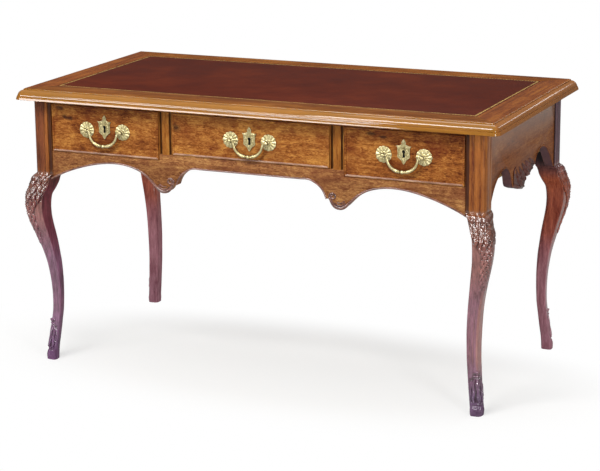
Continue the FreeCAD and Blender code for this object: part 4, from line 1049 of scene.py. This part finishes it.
def makeHandlePost(name, x, z):
    size = postSizes
    ball = roundLine((size["pivot"], 0), size["ball"], np.linspace(0.62, math.pi, 16)).tolist()
    shank = [(size["shankEnd"], 0), (size["shankEnd"], size["shank"]), (size["face"], size["shank"])]
    profile = shank + size["collar"] + ball[1:-1] + [(size["pivot"] - size["ball"], 0)]
    return turnedPiece(name, profile, (x, z))


bailSizes = {"pivot": -338.0, "pin": [(51, 0), (58.6, 0)],
             "arm": [(0, -40.5), (12, -39.3), (24.5, -34.6), (34.5, -26), (40.6, -14), (42.5, -5)],
             "turn": ((42.5, -5), (43.9, -1.4), (47.5, 0)),
             # distance along the bail from its middle, and radius there
             "radii": [(0, 5.3), (2.4, 5.0), (4.2, 3.6), (5.2, 2.4), (6.4, 2.4), (7.2, 4.4), (8.4, 5.0), (9.6, 4.4),
                       (10.6, 3.2), (12, 4.8), (14, 5.2), (20, 4.6), (32, 4.0), (48, 3.5), (58, 3.0), (62, 2.2),
                       (70, 2.0), (90, 2.0)]}


def makeBail(name, x, z):
    size = bailSizes
    right = np.concatenate([smoothLine(size["arm"], 90), arcLine(*size["turn"], 10)[1:], size["pin"]])
    radii = np.interp(runLength(right), *np.array(size["radii"]).T)
    radii = np.concatenate([radii[:0:-1], radii])
    return tubePiece(name, inPlane(bothSides(right) + np.array([x, z]), size["pivot"]), radii, (0, -1, 0), 16, 50)


plateSizes = {"face": -326.0, "thick": 1.6, "foot": 652.0, "rim": 1.4,
              # half outline from the point of the foot up to the crown, as half width and height
              "outline": [(0.4, 0.0), (2.6, 3.6), (4.4, 6.2), (5.2, 9.2), (10.2, 13.6), (15.6, 17.6), (17.2, 21.0),
                          (15.9, 26.5), (16.4, 32.0), (16.9, 38.5), (16.3, 43.0), (18.2, 45.6), (20.8, 49.6),
                          (17.0, 47.9), (13.2, 48.6), (8.6, 50.6), (4.0, 53.0), (3.6, 54.6), (4.9, 57.2), (4.7, 60.2),
                          (2.4, 62.6), (0.6, 66.0)],
              "eye": ((2.9, 30.2), (0, 38.4), (-2.9, 30.2)),
              "slot": [(-2.6, 27.0), (-4.2, 17.8), (4.2, 17.8), (2.6, 27.0)],
              # middle, radius, start in degrees and turns of the scrolls
              "scrolls": [((8.6, 42.5), 5.4, 250, 1.3), ((10.4, 31.0), 4.6, 100, -1.2), ((8.2, 18.6), 4.6, 80, -1.4)],
              # heights of the two bosses, and their radius along nine places
              "bosses": [("Crown", (53, 64.5), ([0, 4, 8], [1.2, 2.2, 0.6])),
                         ("Drop", (2, 14), ([0, 5, 8], [0.5, 2.0, 1.0]))]}


def makeLockPlate(name, x):
    size = plateSizes
    right = np.array(size["outline"])
    spot = np.array([x, size["foot"]])
    outline = np.concatenate([right, right[::-1] * mirror]) + spot
    face = size["face"] - size["thick"]
    plate = boardPiece(name, outline, 1, face, size["face"] + 0.1, 0.35)
    # the keyhole goes right through the plate: a round eye over a flared slot
    hole = np.concatenate([arcLine(*size["eye"], 17), size["slot"]]) + spot
    cutter = boardPiece(name + "Cutter", hole, 1, face - 6, size["face"] + 4, 0.05)
    deselectAll()
    plate.select_set(True)
    bpy.context.view_layer.objects.active = plate
    cut = plate.modifiers.new("keyhole", "BOOLEAN")
    cut.operation, cut.solver, cut.object = "DIFFERENCE", "EXACT", cutter
    bpy.ops.object.modifier_apply(modifier=cut.name)
    bpy.data.objects.remove(cutter)
    middle = outline.mean(axis=0)
    inner = middle + (np.concatenate([outline, outline[:1]]) - middle) * 0.945
    ahead = (0, -1, 0)
    parts = [tubePiece(name + "Rim", inPlane(inner, face + 0.2), size["rim"], ahead, 8)]
    for side in (1, -1):
        for place, radius, start, turns in size["scrolls"]:
            curl = spiral(place, radius, math.radians(start), turns, 34, 0.75) * np.array([side, 1]) + spot
            parts.append(tubePiece(name + "Scroll", inPlane(curl, face), np.linspace(1.5, 0.9, 34), ahead, 8))
    at = np.linspace(0, 2 * math.pi, 41)
    collar = np.column_stack([x + 6.4 * np.cos(at), size["foot"] + 28 + 11.6 * np.sin(at)])
    parts.append(tubePiece(name + "Collar", inPlane(collar, face + 0.1), 0.95, ahead, 8))
    for part, (low, high), radii in size["bosses"]:
        line = np.column_stack([np.full(9, x), np.linspace(low, high, 9) + size["foot"]])
        parts.append(tubePiece(name + part, inPlane(line, face + 0.2), np.interp(np.arange(9), *radii), ahead, 8))
    chasing = joined(name + "Chasing", parts)
    bpy.ops.object.shade_smooth_by_angle(angle=math.radians(40))
    # a near black sheet just behind the keyhole: painted shade inside the lock
    middle = hole.mean(axis=0)
    behind = middle + (hole - middle) * 1.15
    return plate, chasing, boardPiece(name + "Dark", behind, 1, size["face"] - 0.7, size["face"] - 0.2, 0.05)


for place, (left, right, bottom, top, handle) in drawerSpots.items():
    body, node, title = "drawer_" + place, "drawer_" + place + "_", place.capitalize()
    middle = (left + right) / 2
    low, high = [(left, bottom, 1, 1), (right, bottom, -1, 1)], [(right, top, -1, -1), (left, top, 1, -1)]
    # the lower bead is paler than the upper ones: painted light
    seat(makeEdgeBead("lowerBead" + title, low), wood["litWalnutBead"], body=body)
    seat(makeEdgeBead("upperBead" + title, low[1:] + high + low[:1]), wood["burrWalnutFront"], body=body)
    rosettes = [makeRosette("rosette", middle + side * rosetteSizes["offset"], handle) for side in (-1, 1)]
    seat(joined("rosettes" + title, rosettes), brass, node + "handle_rosettes", body=body, slot="gilt_brass")
    posts = [makeHandlePost("post", middle + side * postSizes["offset"], handle) for side in (-1, 1)]
    seat(joined("handlePosts" + title, posts), brass, node + "handle_posts", body=body, slot="gilt_brass")
    seat(makeBail("bail" + title, middle, handle), brass, node + "bail", body="bail_" + place, slot="gilt_brass")
    lockPlate, chasing, keyholeShadow = makeLockPlate("lockPlate" + title, middle)
    seat(lockPlate, dullBrass, node + "escutcheon", body=body, slot="gilt_brass")
    seat(chasing, brass, body=body, slot="gilt_brass")
    seat(keyholeShadow, shadeBlack, body=body, slot="iron")
print("drawers dressed")

# the CAD pieces that stay as they are
front, oak, oakAcross = wood["burrWalnutFront"], wood["planedOak"], wood["planedOakAcross"]
finishes = {"top_panel": oakAcross, "front_top_rail": front, "partition_left": oak, "partition_right": oak,
            "drawer_runners": oak, "drawer_guides": oak, "drawer_kickers": oak, "drawer_stops": oakAcross,
            "top_glue_blocks": wood["sawnPine"], "top_screws": iron, "tenon_pegs": oakAcross}
drawerFinishes = {"front": front, "sides": oak, "back": oakAcross, "bottom": oakAcross, "lock_case": iron,
                  "lock_bolt": iron, "handle_nuts": iron}
for place in drawerSpots:
    finishes.update({"drawer_" + place + "_" + part: material for part, material in drawerFinishes.items()})
for node, material in finishes.items():
    for slot in nodes[node].material_slots:
        slot.material = material

# floor, light and camera

stageLook = {"floor": "#fafaf8", "bounce": "#bcbcb8", "reach": 20.0, "middle": (0.02, -0.13), "half": (1.06, 0.45),
             "fadeFrom": 0.5, "fadeTo": 1.1, "white": 0.48, "gloss": 0.18}


def whiteRays(add, seen):
    # how white the room is to a ray: wholly to the camera, a little in polish
    mirrored = add("Math", {0: seen.outputs["Is Glossy Ray"], 1: stageLook["gloss"]}, operation="MULTIPLY")
    rays = add("Math", {0: seen.outputs["Is Camera Ray"], 1: mirrored}, operation="MAXIMUM")
    return add("Math", {0: rays, 1: seen.outputs["Is Transmission Ray"]}, operation="MAXIMUM")


def makeFloorMaterial():
    # pale matt paper that goes to clear white away from the desk and keeps a soft shadow under it
    look = stageLook
    material, add = startMaterial("palePaper")
    place = add("TexCoord").outputs["Object"]
    (x, y), (wide, deep) = look["middle"], look["half"]
    oval = add("Mapping", {"Vector": place, "Location": (-x / wide, -y / deep, 0), "Scale": (1 / wide, 1 / deep, 1)})
    reach = add("VectorMath", {0: oval}, operation="LENGTH")
    far = add("MapRange", {"Value": reach, "From Min": look["fadeFrom"], "From Max": look["fadeTo"],
                           "To Min": look["white"], "To Max": 1.0}, interpolation_type="SMOOTHSTEP")
    seen = add("LightPath")
    share = add("Math", {0: far, 1: whiteRays(add, seen)}, operation="MULTIPLY")
    colour = add("Mix", {0: seen.outputs["Is Camera Ray"], 6: look["bounce"], 7: look["floor"]}, data_type="RGBA")
    paper = add("BsdfDiffuse", {"Color": colour})
    white = add("Emission", {"Color": "#ffffff", "Strength": 1.0})
    mix = add("MixShader", {0: share, 1: paper, 2: white})
    add("OutputMaterial", {"Surface": mix})
    return material


deselectAll()
bpy.ops.mesh.primitive_plane_add(size=2 * stageLook["reach"])
floor = named(bpy.context.active_object, "floor")
floor.data.materials.append(makeFloorMaterial())

# place, width, height and power of the soft lamps, which aim at the desk's middle; the white cards show only in polish
lampSizes = {"overhead": ((0.2, 1.3, 3.3), 2.2, 1.6, 29.0), "key": ((-0.4, -2.4, 3.3), 1.5, 0.7, 72.0),
             "front": ((-2.0, -3.6, 3.1), 1.8, 0.5, 47.0), "right": ((3.8, -3.4, 1.3), 0.9, 0.9, 74.0),
             "cardLeft": ((-2.3, -4.0, 2.0), 2.6, 0.6, 84.0), "cardRight": ((3.6, -3.2, 1.9), 1.4, 1.6, 90.0),
             "cardBack": ((1.6, 3.8, 2.0), 1.2, 0.2, 4.0)}
deskMiddle = Vector((0, 0, 0.5))
for name, (spot, wide, high, power) in lampSizes.items():
    deselectAll()
    bpy.ops.object.light_add(type="AREA", location=spot)
    lamp = bpy.context.active_object
    lamp.name = name
    lamp.data.shape, lamp.data.size, lamp.data.size_y, lamp.data.energy = "RECTANGLE", wide, high, power
    aim = deskMiddle - lamp.location
    lamp.rotation_euler = aim.to_track_quat("-Z", "Y").to_euler()
    lamp.visible_diffuse = not name.startswith("card")

# a dim room with a bright ceiling, white where the camera sees it
roomLight = {"low": 0.07, "high": 0.7, "from": 0.3, "to": 0.85}
world = bpy.data.worlds.new("studio")
world.use_nodes = True
world.node_tree.nodes.clear()
add = partial(addNode, world.node_tree)
upward = add("SeparateXYZ", {0: add("TexCoord").outputs["Generated"]}).outputs["Z"]
strength = add("MapRange", {"Value": upward, "From Min": roomLight["from"], "From Max": roomLight["to"],
                            "To Min": roomLight["low"], "To Max": roomLight["high"]})
rays = whiteRays(add, add("LightPath"))
strength = add("Math", {0: strength, 1: rays}, operation="MAXIMUM")
sky = add("Background", {"Color": "#ffffff", "Strength": strength})
add("OutputWorld", {"Surface": sky})
bpy.context.scene.world = world

viewPoint = {"spot": (2.2107, -5.0030, 1.7521), "yaw": 23.850, "down": 14.416, "roll": -0.484, "lens": 120.352,
             "sensor": 36.0}
deselectAll()
bpy.ops.object.camera_add(location=viewPoint["spot"])
camera = bpy.context.active_object
camera.data.lens, camera.data.sensor_width = viewPoint["lens"], viewPoint["sensor"]
camera.data.sensor_fit = "HORIZONTAL"
camera.matrix_world = (Matrix.Translation(viewPoint["spot"])
                       @ Matrix.Rotation(math.radians(viewPoint["yaw"]), 4, "Z")
                       @ Matrix.Rotation(math.radians(90 - viewPoint["down"]), 4, "X")
                       @ Matrix.Rotation(math.radians(viewPoint["roll"]), 4, "Z"))
bpy.context.scene.camera = camera
bpy.context.scene.view_settings.view_transform = "Standard"

print("scene done")
